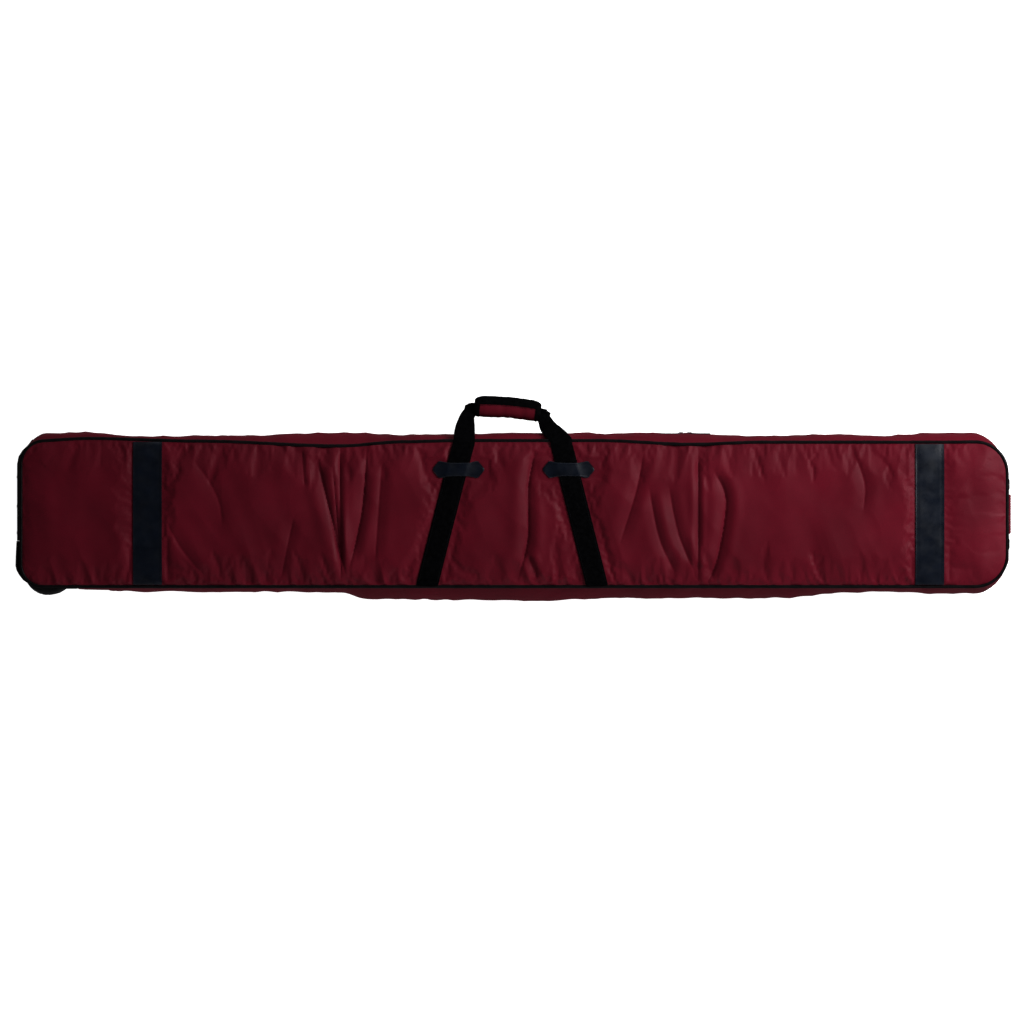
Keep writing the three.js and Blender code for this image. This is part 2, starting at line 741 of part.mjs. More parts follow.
function hubGeometry() {
  const seat = 11 + GAP;
  const body = turned([
    [seat, -9],
    [14, -9],
    [15, -4],
    [24, -4],
    [25, -8.5],
    [28, -8.5],
    [28, 8.5],
    [25, 8.5],
    [24, 4],
    [15, 4],
    [14, 9],
    [seat, 9],
  ]);
  const holes = Array.from({ length: 6 }, (_, i) => {
    const angle = (Math.PI * i) / 3;
    return rod(19.5 * Math.cos(angle), 19.5 * Math.sin(angle), 3.2, -6, 6, 8);
  });
  return cut(body, ...holes);
}

// A ball bearing on the axle, as one ring.
function bearingGeometry() {
  const bore = AXLE_RADIUS + GAP;
  return turned([
    [bore, -3.5],
    [11, -3.5],
    [11, 3.5],
    [bore, 3.5],
  ], 20);
}

// A moulded channel along the wheel end, riveted over the tray's half of the gusset.
function guardGeometry() {
  const route = [
    ...TOP_WHEEL_CORNER.slice(2),
    ...between(TOP_WHEEL_CORNER.at(-1), WHEEL_END_FOOT, 2),
    WHEEL_END_FOOT,
  ];
  const { low, high, lip, wall } = GUARD;
  const profile = (bulge) => {
    const taper = (1.2 * bulge.swell) / BULGE.wheelEnd - 0.2;
    const depth = Math.max(GUARD_DEPTH.end, GUARD_DEPTH.full * taper);
    const crest = outerOffset(ZIP_Z - VALLEY.outer, bulge) + lip + wall;
    const face = Math.max(outerOffset(high, bulge) + depth, crest);
    const foot = outerOffset(low + wall, bulge) + lip;
    const brow = Math.max(outerOffset(high - wall, bulge), outerOffset(high, bulge)) + lip;
    return [
      [foot, low],
      [face - 2, low],
      [face, low + 3],
      [face, high - 3],
      [face - 2, high],
      [brow, high],
      [brow, high - wall],
      [face - wall, high - wall],
      [face - wall, low + wall],
      [foot, low + wall],
    ];
  };
  const holes = RIVET_Y.map((y) => rivetShank(y, RIVET_RADIUS + GAP));
  return cut(sweep(route, profile), ...holes);
}

const RIVET_Y = [70, 15, -35];
const RIVET_Z = 29;
const RIVET_RADIUS = 2;
const RIVET_GRIP = 4; // from the shank's inner end to the underside of the head
const GUARD_FACE_X =
  -HALF_LENGTH - outerOffset(GUARD.high, { swell: BULGE.wheelEnd }) - GUARD_DEPTH.full;

function rivetShank(y, radius) {
  const geometry = new THREE.CylinderGeometry(radius, radius, 8, 12);
  return geometry.rotateZ(Math.PI / 2).translate(GUARD_FACE_X + 2, y, RIVET_Z);
}

function rivetGeometry() {
  const profile = [
    [0, 0],
    [RIVET_RADIUS, 0],
    [RIVET_RADIUS, RIVET_GRIP],
    [5, RIVET_GRIP],
    [4.2, RIVET_GRIP + 1.2],
    [2.4, RIVET_GRIP + 2],
    [0, RIVET_GRIP + 2.2],
  ].map(([r, h]) => new THREE.Vector2(r, h));
  return new THREE.LatheGeometry(profile, 16).rotateZ(Math.PI / 2);
}

function addWheelEnd() {
  addMesh("wheel_housing", housingGeometry(), HARD_PLASTIC);
  addMesh("end_guard", guardGeometry(), HARD_PLASTIC);
  RIVET_Y.forEach((y, i) => {
    const rivet = addMesh(`guard_rivet_${i + 1}`, rivetGeometry(), STEEL);
    rivet.position.set(GUARD_FACE_X + RIVET_GRIP - GAP, y, RIVET_Z);
  });
  const axleEnds = [LINING_TOP + 1, FRONT_LINING_TOP - LINING_THICKNESS - 1];
  addMesh("axle", rod(WHEEL_X, WHEEL_Y, AXLE_RADIUS, ...axleEnds), STEEL);
  for (const [name, z] of Object.entries(WHEEL_Z)) {
    const wheel = new THREE.Group();
    wheel.position.set(WHEEL_X, WHEEL_Y, z);
    bag.add(wheel);
    addMesh(`${name}_tyre`, tyreGeometry(), RUBBER, wheel);
    addMesh(`${name}_hub`, hubGeometry(), HUB_PLASTIC, wheel);
    for (const [place, side] of [["lower", -1], ["upper", 1]]) {
      const bearing = addMesh(`${name}_bearing_${place}`, bearingGeometry(), STEEL, wheel);
      bearing.position.z = 5.3 * side;
    }
  }
}

// ---------------------------------------------------------------- the pull handle

// A loop of webbing through a tube. Its two ends are sewn into the seam under the zip.
const PULL_HANDLE_LINE = [
  { x: 0, y: -56, z: 0, half: 10 },
  { x: 0.2, y: -55, z: -10, half: 9.5 },
  { x: 0.5, y: -52.5, z: -19, half: 7 },
  { x: 0.8, y: -46, z: -26, half: 4.2 },
  { x: 1, y: -38, z: -28, half: 3.2 },
  { x: 1, y: 38, z: -28, half: 3.2 },
  { x: 0.8, y: 46, z: -26, half: 4.2 },
  { x: 0.5, y: 52.5, z: -19, half: 7 },
  { x: 0.2, y: 55, z: -10, half: 9.5 },
  { x: 0, y: 56, z: 0, half: 10 },
];

function addPullHandle() {
  const group = new THREE.Group();
  group.position.set(PULL_HANDLE_HINGE.x, 0, PULL_HANDLE_HINGE.z);
  bag.add(group);
  const face = () => new THREE.Vector3(1, 0, -0.1);
  addMesh("pull_handle_webbing", ribbon(PULL_HANDLE_LINE, 2, face), WEBBING, group);
  const tube = turned([
    [3.9, -37],
    [5.2, -37],
    [5.2, 37],
    [3.9, 37],
  ], 16);
  const grip = addMesh("pull_handle_tube", tube, NYLON, group);
  grip.rotation.x = Math.PI / 2;
  grip.position.set(1, 0, -28);
}

addTray();
addSkiStraps();
addLid();
addCarryHandles();
addSliders();
addWheelEnd();
addPullHandle();

export default bag;
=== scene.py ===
# A padded ski bag lying on its back panel: the fabric, trim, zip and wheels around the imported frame,
# with the light and the camera. Metres, in the frame's own axes.
#
# An "offset" is the distance outwards from the panels' outline, as on the frame. A station is a point
# on that outline with the direction that faces out of the bag: (x, y, out_x, out_y). A "way" is the
# distance travelled along a route of stations.
import json
import math

import bmesh
import bpy
import numpy as np
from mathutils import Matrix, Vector, noise
from mathutils.bvhtree import BVHTree


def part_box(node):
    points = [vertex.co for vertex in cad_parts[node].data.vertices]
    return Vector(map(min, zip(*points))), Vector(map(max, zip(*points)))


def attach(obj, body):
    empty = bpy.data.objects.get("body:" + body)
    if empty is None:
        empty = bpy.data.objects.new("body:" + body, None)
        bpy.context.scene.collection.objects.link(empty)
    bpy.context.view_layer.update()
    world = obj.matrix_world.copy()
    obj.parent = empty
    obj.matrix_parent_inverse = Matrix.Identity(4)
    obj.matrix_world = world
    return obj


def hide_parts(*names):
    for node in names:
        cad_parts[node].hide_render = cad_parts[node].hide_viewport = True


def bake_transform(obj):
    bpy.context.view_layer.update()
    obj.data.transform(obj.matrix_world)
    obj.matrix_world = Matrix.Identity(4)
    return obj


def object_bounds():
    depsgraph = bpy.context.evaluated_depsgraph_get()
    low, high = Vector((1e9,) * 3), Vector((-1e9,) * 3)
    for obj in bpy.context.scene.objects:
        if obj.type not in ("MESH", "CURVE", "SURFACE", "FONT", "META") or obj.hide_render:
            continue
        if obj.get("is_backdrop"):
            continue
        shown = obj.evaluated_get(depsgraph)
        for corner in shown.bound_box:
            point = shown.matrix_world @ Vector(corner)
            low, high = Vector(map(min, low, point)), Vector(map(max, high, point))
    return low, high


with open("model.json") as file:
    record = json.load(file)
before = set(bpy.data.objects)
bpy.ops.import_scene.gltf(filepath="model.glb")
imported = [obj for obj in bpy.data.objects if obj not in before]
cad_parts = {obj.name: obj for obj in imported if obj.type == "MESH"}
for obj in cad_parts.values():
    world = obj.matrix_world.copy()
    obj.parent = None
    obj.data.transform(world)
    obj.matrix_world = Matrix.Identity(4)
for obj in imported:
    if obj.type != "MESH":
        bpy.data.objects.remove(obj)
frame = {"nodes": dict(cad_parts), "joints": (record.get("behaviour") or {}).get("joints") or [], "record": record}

CAD_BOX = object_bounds()

# ---------------------------------------------------------------- sizes, most of them from the frame

MM = 0.001
GAP = 0.3 * MM


def middle(node):
    low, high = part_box(node)
    return (low + high) / 2


PANEL_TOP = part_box("front_panel")[1]
HALF_LENGTH = PANEL_TOP.x + GAP
HALF_HEIGHT = PANEL_TOP.y + GAP
WHEEL_END_RADIUS = 38 * MM
PULL_END_RADIUS = 57 * MM
SEAM_OFFSET = 5 * MM
SEAM_Z = middle("front_piping").z
BACK_SEAM_Z = middle("back_piping").z
PIPING_SEAT = 2.5 * MM # from the outline to the piping's middle, less the gap
PIPING_RADIUS = 3.1 * MM
ZIP_Z = (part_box("lid_zip_tape")[0].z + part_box("tray_zip_tape")[1].z) / 2
ZIP_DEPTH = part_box("tray_zip_tape")[1].y - HALF_HEIGHT - SEAM_OFFSET # the zip's offset past the seam
GUSSET_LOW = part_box("bottom_gusset")[0].z
GUSSET_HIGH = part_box("bottom_gusset")[1].z
GUSSET_THICKNESS = 3.4 * MM
UPRIGHT_FROM = 103 * MM # above this the gusset stands straight up to the front seam
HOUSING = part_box("wheel_housing")[1]
WEBBING_THICKNESS = 2.2 * MM
WEBBING_HALF = 20 * MM
STRIPE_HALF = 26.75 * MM
STRIPES = {side: middle(f"front_stripe_{side}").x for side in ("left", "right")}
KEEPERS = {side: middle(f"keeper_{side}") for side in ("left", "right")}
STRAP_PATHS = {
    "left": [(-162 * MM, -HALF_HEIGHT), (-107 * MM, 83 * MM), (-93 * MM, 134 * MM)],
    "right": [(154 * MM, -HALF_HEIGHT), (100 * MM, 83 * MM), (87 * MM, 134 * MM)],
}

# ---------------------------------------------------------------- small maths


def smooth(a, b, x):
    """A smooth step from 0 at a to 1 at b."""
    t = np.clip((x - a) / (b - a), 0, 1)
    return t * t * (3 - 2 * t)


def between(table, x):
    """The value at x of a smooth curve through a table of (x, value)."""
    if x <= table[0][0]:
        return table[0][1]
    for (x0, v0), (x1, v1) in zip(table, table[1:]):
        if x <= x1:
            return v0 + (v1 - v0) * smooth(x0, x1, x)
    return table[-1][1]


def rough(x, y, size, seed=0.0):
    """Smooth noise between about -1 and 1, whose bumps are about size across."""
    return noise.noise(Vector((x / size, y / size, seed * 3.7 + 0.31)))


def ridged(x, y, size, seed=0.0):
    """Noise made of narrow valleys between rounded ridges, between about -1 and 1."""
    return 1 - 4 * abs(rough(x, y, size, seed))


def unit(v):
    return v / np.linalg.norm(v, axis=-1, keepdims=True)


def refine(grid, factor):
    """A grid of points with factor times as many steps along its first axis, on a smooth curve."""
    n = len(grid)
    out = []
    for i in range(n - 1):
        p0, p1, p2, p3 = (grid[min(max(i + k, 0), n - 1)] for k in (-1, 0, 1, 2))
        for t in np.arange(factor) / factor:
            bend = (2 * p0 - 5 * p1 + 4 * p2 - p3) * t**2 + (3 * p1 - p0 - 3 * p2 + p3) * t**3
            out.append(0.5 * (2 * p1 + (p2 - p0) * t + bend))
    out.append(grid[-1])
    return np.array(out)


def lattice(us, vs, place):
    """Grids of points over us and vs. place(u, v) gives one point for each of the grids."""
    cells = [[place(u, v) for v in vs] for u in us]
    return [np.array([[cell[k] for cell in row] for row in cells]) for k in range(len(cells[0][0]))]


# ---------------------------------------------------------------- mesh helpers


def grid_faces(rows, columns, start=0, ring=False, pipe=False):
    """The faces of a grid of points. A ring joins its last row to its first, a pipe its columns."""
    faces = []
    for i in range(rows if ring else rows - 1):
        a, b = start + i * columns, start + (i + 1) % rows * columns
        for j in range(columns if pipe else columns - 1):
            m = (j + 1) % columns
            faces.append((a + j, b + j, b + m, a + m))
    return faces


def shade(mesh, sharp):
    """Smooth shading, except across edges sharper than that many degrees."""
    mesh.polygons.foreach_set("use_smooth", [True] * len(mesh.polygons))
    mesh.set_sharp_from_angle(angle=math.radians(sharp))


def make_mesh(name, points, faces, material, uv=None, sharp=35, inner_from=None, closed=True):
    """An object from points and faces. Faces from the index inner_from on get the second material."""
    materials = material if isinstance(material, list) else [material]
    mesh = bpy.data.meshes.new(name)
    mesh.from_pydata([tuple(p) for p in points], [], [tuple(map(int, f)) for f in faces])
    for m in materials:
        mesh.materials.append(m)
    if len(materials) > 1:
        for polygon in mesh.polygons[inner_from:]:
            polygon.material_index = 1
    if uv is not None:
        layer = mesh.uv_layers.new(name="UVMap")
        corners = np.empty(len(mesh.loops), int)
        mesh.loops.foreach_get("vertex_index", corners)
        layer.data.foreach_set("uv", np.asarray(uv, float)[corners].ravel())
    if closed:
        bm = bmesh.new()
        bm.from_mesh(mesh)
        bmesh.ops.recalc_face_normals(bm, faces=bm.faces)
        bm.to_mesh(mesh)
        bm.free()
    shade(mesh, sharp)
    obj = bpy.data.objects.new(name, mesh)
    bpy.context.scene.collection.objects.link(obj)
    return obj


def shell(name, outer, inner, material, uv=None, sharp=35):
    """A closed thin solid between two grids of points. A second material goes on the inner one."""
    rows, columns = outer.shape[:2]
    count = rows * columns
    points = np.concatenate([outer.reshape(-1, 3), inner.reshape(-1, 3)])
    rim = [(i * columns + j, (i + 1) * columns + j) for i in range(rows - 1) for j in (0, columns - 1)]
    rim += [(i * columns + j, i * columns + j + 1) for i in (0, rows - 1) for j in range(columns - 1)]
    faces = grid_faces(rows, columns) + [(a, a + count, b + count, b) for a, b in rim]
    if uv is not None:
        uv = np.concatenate([uv.reshape(-1, 2)] * 2)
    back = grid_faces(rows, columns, count)
    return make_mesh(name, points, faces + back, material, uv, sharp, len(faces))


def add_piece(obj, body, slot, *nodes):
    """Puts a finished piece on a body, in place of the CAD nodes that it stands for, which it hides. slot is not
    used.
    """
    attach(obj, body)
    if nodes:
        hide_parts(*nodes)
    return obj


def node_body(node):
    for body, members in frame["record"]["behaviour"]["bodies"].items():
        if node in members:
            return body


def bevelled(node, material, slot, width, segments=3):
    """A copy of a hard CAD piece with its edges rounded, in place of the piece."""
    mesh = frame["nodes"][node].data.copy()
    mesh.materials.clear()
    mesh.materials.append(material)
    obj = bpy.data.objects.new(f"{node}_moulded", mesh)
    bpy.context.scene.collection.objects.link(obj)
    bm = bmesh.new()
    bm.from_mesh(mesh)
    bmesh.ops.remove_doubles(bm, verts=bm.verts, dist=1e-6)
    bmesh.ops.dissolve_limit(
        bm, angle_limit=math.radians(1), verts=bm.verts, edges=bm.edges, delimit={"NORMAL"}
    )
    crease = math.radians(28)
    edges = [e for e in bm.edges if len(e.link_faces) == 2 and e.calc_face_angle(0) > crease]
    shape = dict(offset=width, segments=segments, profile=0.6, clamp_overlap=True)
    bmesh.ops.bevel(bm, geom=edges, affect="EDGES", **shape)
    bmesh.ops.triangulate(bm, faces=[f for f in bm.faces if len(f.verts) > 4])
    bmesh.ops.recalc_face_normals(bm, faces=bm.faces)
    bm.to_mesh(mesh)
    bm.free()
    shade(mesh, 38)
    return add_piece(obj, node_body(node), slot, node)


# ---------------------------------------------------------------- materials


def texture(kind, output, values, settings={}, space="Object", stretch=(1, 1, 1)):
    """A recipe that adds a procedural texture to a material's node tree and gives its value."""

    def build(tree):
        place = tree.nodes.new("ShaderNodeTexCoord")
        mapping = tree.nodes.new("ShaderNodeMapping")
        mapping.inputs["Scale"].default_value = stretch
        node = tree.nodes.new(kind)
        for key, value in settings.items():
            setattr(node, key, value)
        for key, value in values.items():
            node.inputs[key].default_value = value
        tree.links.new(place.outputs[space], mapping.inputs["Vector"])
        tree.links.new(mapping.outputs["Vector"], node.inputs["Vector"])
        return node.outputs[output]

    return build


def cloudy(scale, detail=4.0, roughness=0.55, **where):
    values = {"Scale": scale, "Detail": detail, "Roughness": roughness}
    return texture("ShaderNodeTexNoise", "Fac", values, **where)


def waves(scale, direction="X", distortion=0.0, **where):
    values, settings = {"Scale": scale, "Distortion": distortion}, {"bands_direction": direction}
    return texture("ShaderNodeTexWave", "Fac", values, settings, **where)


def cells(scale):
    return texture("ShaderNodeTexVoronoi", "Distance", {"Scale": scale}, {"feature": "DISTANCE_TO_EDGE"})


def weave(thread):
    """A plain weave: threads across threads, a thread apart."""

    def build(tree):
        node = tree.nodes.new("ShaderNodeMath")
        node.operation = "MULTIPLY"
        for socket, direction in zip(node.inputs, "XY"):
            tree.links.new(waves(0.5 / thread, direction, 0.6)(tree), socket)
        return node.outputs[0]

    return build


def finish(name, color, roughness, tint, bumps, metallic=0.0, lustre=None, gloss=None, sockets={}):
    """A principled material with procedural layers.

    tint is a texture with the darkest and lightest share of the colour, and gloss a texture with two
    roughnesses. Each bump is a texture, a relief in metres and a strength, and lies on the one before.
    lustre is the weight and roughness of a weak coat in place of the plain specular, which is too
    strong at grazing angles."""
    material = bpy.data.materials.new(name)
    material.use_nodes = True
    tree = material.node_tree
    shader = tree.nodes["Principled BSDF"]
    values = {"Base Color": (*color, 1), "Roughness": roughness, "Metallic": metallic, **sockets}
    if lustre:
        values |= {"Specular IOR Level": 0.0, "Coat Weight": lustre[0], "Coat Roughness": lustre[1]}
    for socket, value in values.items():
        shader.inputs[socket].default_value = value
    recipe, *shares = tint
    ramp = tree.nodes.new("ShaderNodeValToRGB")
    for element, place, share in zip(ramp.color_ramp.elements, (0.3, 0.7), shares):
        element.position = place
        element.color = (*[c * share for c in color], 1)
    tree.links.new(recipe(tree), ramp.inputs["Fac"])
    tree.links.new(ramp.outputs["Color"], shader.inputs["Base Color"])
    if gloss:
        recipe, *ends = gloss
        span = tree.nodes.new("ShaderNodeMapRange")
        for socket, value in zip(("From Min", "From Max", "To Min", "To Max"), (0.3, 0.7, *ends)):
            span.inputs[socket].default_value = value
        tree.links.new(recipe(tree), span.inputs["Value"])
        target = shader.inputs["Coat Roughness" if lustre else "Roughness"]
        tree.links.new(span.outputs["Result"], target)
    below = None
    for recipe, distance, strength in bumps:
        node = tree.nodes.new("ShaderNodeBump")
        node.inputs["Distance"].default_value = distance
        node.inputs["Strength"].default_value = strength
        tree.links.new(recipe(tree), node.inputs["Height"])
        if below:
            tree.links.new(below, node.inputs["Normal"])
        below = node.outputs["Normal"]
    tree.links.new(below, shader.inputs["Normal"])
    return material


NYLON = finish(
    "burgundy_nylon", (0.055, 0.0035, 0.0086), 0.44, (cloudy(9, 5), 0.86, 1.14),
    [(weave(0.55 * MM), 0.05 * MM, 0.6), (cloudy(240, 3), 0.12 * MM, 0.5)],
    lustre=(0.09, 0.5), gloss=(cloudy(26), 0.42, 0.56),
)
LINING = finish(
    "dark_lining", (0.014, 0.014, 0.016), 0.72, (cloudy(40), 0.75, 1.35),
    [(weave(0.9 * MM), 0.12 * MM, 0.6), (cloudy(60), 0.5 * MM, 0.5)], lustre=(0.15, 0.5),
)
BOARD = finish(
    "board_sheet", (0.030, 0.031, 0.033), 0.55, (cloudy(30), 0.8, 1.2), [(cloudy(700, 2), 0.05 * MM, 1)],
)
# On webbing and zip tape U runs across and V along, both in metres.
WEBBING = finish(
    "black_webbing", (0.0012, 0.0012, 0.0014), 0.7, (cloudy(160), 0.6, 1.6),
    [
        (waves(260, "X", 0.3, space="UV"), 0.35 * MM, 0.8),
        (waves(190, "DIAGONAL", 0.5, space="UV"), 0.18 * MM, 0.8),
    ],
    lustre=(0.008, 0.5),
)
LEATHERETTE = finish(
    "leatherette", (0.0020, 0.0032, 0.0064), 0.36, (cloudy(35), 0.75, 1.3),
    [(cells(620), 0.10 * MM, 0.7), (cloudy(300, 3), 0.10 * MM, 0.5)],
    lustre=(0.34, 0.36), gloss=(cloudy(60, 5), 0.27, 0.43),
)
VINYL = finish(
    "piping_vinyl", (0.0030, 0.0026, 0.0030), 0.3, (cloudy(50, 3), 0.7, 1.4),
    [(cloudy(420, 3), 0.09 * MM, 0.6)], lustre=(0.06, 0.34), gloss=(cloudy(140, 3), 0.26, 0.42),
)
ZIP_TAPE = finish(
    "zip_tape_weave", (0.004, 0.004, 0.0045), 0.8, (cloudy(220), 0.7, 1.4),
    [
        (waves(500, "Y", 0.2, space="UV"), 0.10 * MM, 0.7),
        (waves(420, "X", 0.2, space="UV"), 0.12 * MM, 0.7),
    ],
    lustre=(0.08, 0.5),
)
COIL = finish(
    "zip_coil", (0.018, 0.018, 0.020), 0.36, (cloudy(300, 3), 0.7, 1.4), [(cloudy(1500, 2), 0.03 * MM, 1)],
)
HARD = finish(
    "moulded_plastic", (0.0042, 0.0038, 0.004), 0.38, (cloudy(25, 5), 0.75, 1.35),
    [(cloudy(1300, 3), 0.05 * MM, 0.7), (cloudy(14, 6, 0.7, stretch=(1, 1, 6)), 0.12 * MM, 0.25)],
    lustre=(0.16, 0.36), gloss=(cloudy(45, 6), 0.26, 0.46),
)
TYRE = finish(
    "tyre_rubber", (0.009, 0.009, 0.0095), 0.72, (cloudy(70, 6), 0.7, 1.6),
    [(cloudy(900), 0.10 * MM, 0.7)], lustre=(0.12, 0.6), gloss=(cloudy(90, 5), 0.6, 0.85),
)
HUB = finish(
    "hub_plastic", (0.045, 0.046, 0.050), 0.45, (cloudy(60, 5), 0.8, 1.25),
    [(cloudy(1100, 3), 0.05 * MM, 1)],
)
STEEL = finish(
    "steel", (0.55, 0.55, 0.56), 0.3, (cloudy(80, 5), 0.75, 1.1),
    [(cloudy(900, 3, stretch=(1, 1, 10)), 0.02 * MM, 1)],
    metallic=1.0, gloss=(cloudy(200, 5, stretch=(1, 1, 12)), 0.2, 0.45),
)
ZINC = finish(
    "black_nickel", (0.085, 0.085, 0.09), 0.3, (cloudy(140, 5), 0.7, 1.5),
    [(cloudy(800, 3), 0.02 * MM, 1)], metallic=1.0, gloss=(cloudy(260), 0.22, 0.42),
)
THREAD = finish(
    "black_thread", (0.005, 0.005, 0.0065), 0.5, (cloudy(600, 3), 0.7, 1.5),
    [(waves(900, "DIAGONAL"), 0.05 * MM, 1)], lustre=(0.05, 0.5),
)
RED_THREAD = finish(
    "burgundy_thread", (0.065, 0.007, 0.012), 0.5, (cloudy(600, 3), 0.7, 1.4),
    [(waves(900, "DIAGONAL"), 0.05 * MM, 1)],
)
FLOOR = finish(
    "pale_floor", (0.32, 0.32, 0.32), 0.9, (cloudy(1.5, 3), 0.985, 1.0), [(cloudy(60, 3), 0.05 * MM, 1)],
    sockets={"Emission Color": (1, 1, 1, 1), "Emission Strength": 0.95, "Specular IOR Level": 0.0},
)

# ---------------------------------------------------------------- camera, light and floor

CAMERA_HEIGHT = 10.0
PICTURE_WIDTH = 1.9046 # what the camera sees at the front panel's height
CAMERA_AIM = (-4 * MM, 4 * MM)
FLOOR_HALF = 20.0


def add_camera():
    data = bpy.data.cameras.new("camera")
    camera = bpy.data.objects.new("camera", data)
    bpy.context.scene.collection.objects.link(camera)
    camera.location = (*CAMERA_AIM, CAMERA_HEIGHT)
    distance = CAMERA_HEIGHT - WEBBING_THICKNESS - PANEL_TOP.z
    data.lens = data.sensor_width * distance / PICTURE_WIDTH
    data.clip_end = 50
    bpy.context.scene.camera = camera


def add_light(name, place, aim_x, size, watts):
    data = bpy.data.lights.new(name, "AREA")
    data.shape = "RECTANGLE"
    data.size, data.size_y = size
    data.energy = watts
    light = bpy.data.objects.new(name, data)
    light.location = place
    light.rotation_euler = (Vector((aim_x, 0, 0.1)) - Vector(place)).to_track_quat("-Z", "Y").to_euler()
    bpy.context.scene.collection.objects.link(light)


def add_studio():
    """Soft boxes on four sides, strongest on the right, under a dark ceiling with a pale horizon."""
    add_light("right", (2.3, 0.9, 1.9), 0.3, (1.8, 1.8), 254)
    add_light("left", (-2.4, -0.6, 1.9), -0.4, (1.8, 1.8), 4)
    add_light("behind", (0.05, 2.4, 1.8), 0, (2.2, 1.2), 38)
    add_light("before", (0, -2.4, 1.8), 0, (2.2, 1.2), 52)
    world = bpy.data.worlds.new("studio")
    world.use_nodes = True
    nodes, links = world.node_tree.nodes, world.node_tree.links
    place = nodes.new("ShaderNodeTexCoord")
    split = nodes.new("ShaderNodeSeparateXYZ")
    ramp = nodes.new("ShaderNodeValToRGB")
    for element, where, level in zip(ramp.color_ramp.elements, (0.12, 0.62), (0.6, 0.05)):
        element.position = where
        element.color = (level, level, level, 1)
    links.new(place.outputs["Generated"], split.inputs["Vector"])
    links.new(split.outputs["Z"], ramp.inputs["Fac"])
    links.new(ramp.outputs["Color"], nodes["Background"].inputs["Color"])
    bpy.context.scene.world = world
    view = bpy.context.scene.view_settings
    view.view_transform = "Standard"
    view.gamma = 0.8
    corners = [(x * FLOOR_HALF, y * FLOOR_HALF, -0.5 * MM) for x, y in ((-1, -1), (1, -1), (1, 1), (-1, 1))]
    make_mesh("floor", corners, [(0, 1, 2, 3)], FLOOR, closed=False)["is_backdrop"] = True


# ---------------------------------------------------------------- the outline and its seams


def end_radius(x):
    return PULL_END_RADIUS if x > 0 else WHEEL_END_RADIUS


def corner(end, side, start, steps=12):
    radius = end_radius(end)
    x, y = end * (HALF_LENGTH - radius), side * (HALF_HEIGHT - radius)
    angles = np.radians(start + np.linspace(0, 90, steps + 1))
    out = np.stack([np.cos(angles), np.sin(angles)], 1)
    return np.hstack([np.array([x, y]) + radius * out, out])


def dense(stations, step):
    """The same route with stations at most a step apart."""
    rows = []
    for a, b in zip(stations, stations[1:]):
        count = max(1, math.ceil(np.hypot(*(b - a)[:2]) / step))
        rows.extend(a + (b - a) * k / count for k in range(count))
    return np.array(rows + [stations[-1]])


def travelled(route, step):
    """Stations at most a step apart, each with its way."""
    stations = dense(route, step)
    way = np.concatenate([[0], np.cumsum(np.hypot(*np.diff(stations[:, :2], axis=0).T))])
    return list(zip(stations, way))


BOTTOM_PULL = corner(1, -1, -90)
TOP_PULL = corner(1, 1, 0)
TOP_WHEEL = corner(-1, 1, 90)
BOTTOM_WHEEL = corner(-1, -1, 180)
WHOLE_OUTLINE = np.vstack([BOTTOM_PULL, TOP_PULL, TOP_WHEEL, BOTTOM_WHEEL, BOTTOM_PULL[:1]])
PULL_FOOT = np.array([[HALF_LENGTH, BOTTOM_PULL[-1][1] + GAP, 1, 0]])
WHEEL_FOOT = np.array([[-HALF_LENGTH, HOUSING.y + GAP, -1, 0]])
ZIP_ROUTE = np.vstack([PULL_FOOT, TOP_PULL, TOP_WHEEL, WHEEL_FOOT])
BOTTOM_ROUTE = np.vstack([[[HOUSING.x + GAP, -HALF_HEIGHT, 0, -1]], BOTTOM_PULL])

# The front seam isn't quite straight along the top side: it dips where the bag was folded.
TOP_WANDER = [
    (-0.92, 0), (-0.79, 0.006), (-0.585, 0.001), (-0.325, -0.008), (-0.20, 0), (-0.10, 0.002),
    (0.16, 0.002), (0.33, -0.005), (0.46, -0.001), (0.80, -0.001), (0.92, 0),
]
# How far the gusset bulges past its seams along the top and bottom sides, and at either end.
TOP_BULGE = [
    (-0.87, 0.015), (-0.80, 0.017), (-0.70, 0.008), (-0.60, 0.011), (-0.47, 0.011), (-0.40, 0.0155),
    (-0.30, 0.016), (-0.22, 0.012), (-0.13, 0.012), (0, 0.015), (0.34, 0.015), (0.40, 0.010),
    (0.50, 0.010), (0.59, 0.013), (0.68, 0.010), (0.77, 0.015), (0.86, 0.015),
]
BOTTOM_BULGE = [
    (-0.80, 0.004), (-0.70, 0.008), (-0.33, 0.009), (-0.27, 0.022), (0.08, 0.025), (0.16, 0.020),
    (0.50, 0.020), (0.62, 0.010), (0.72, 0.009), (0.78, 0.012), (0.86, 0.012),
]
PULL_END_BULGE = 5 * MM
WHEEL_END_BULGE = 2 * MM


def wander(x, out_y):
    return between(TOP_WANDER, x) * max(0.0, out_y) ** 2


def bulge(x, out_x, out_y, way):
    """The gusset's single swell, and the pair of lobes that the zip leaves on the top side."""
    uneven = 0.9 * MM * rough(way, 0, 70 * MM, 8) + 0.7 * MM * rough(way, 0, 24 * MM, 9)
    end = (PULL_END_BULGE if out_x > 0 else WHEEL_END_BULGE) * out_x**2
    if out_y > 0:
        return end, (between(TOP_BULGE, x) + uneven) * out_y**6
    return end + (between(BOTTOM_BULGE, x) + uneven) * out_y**2, 0.0


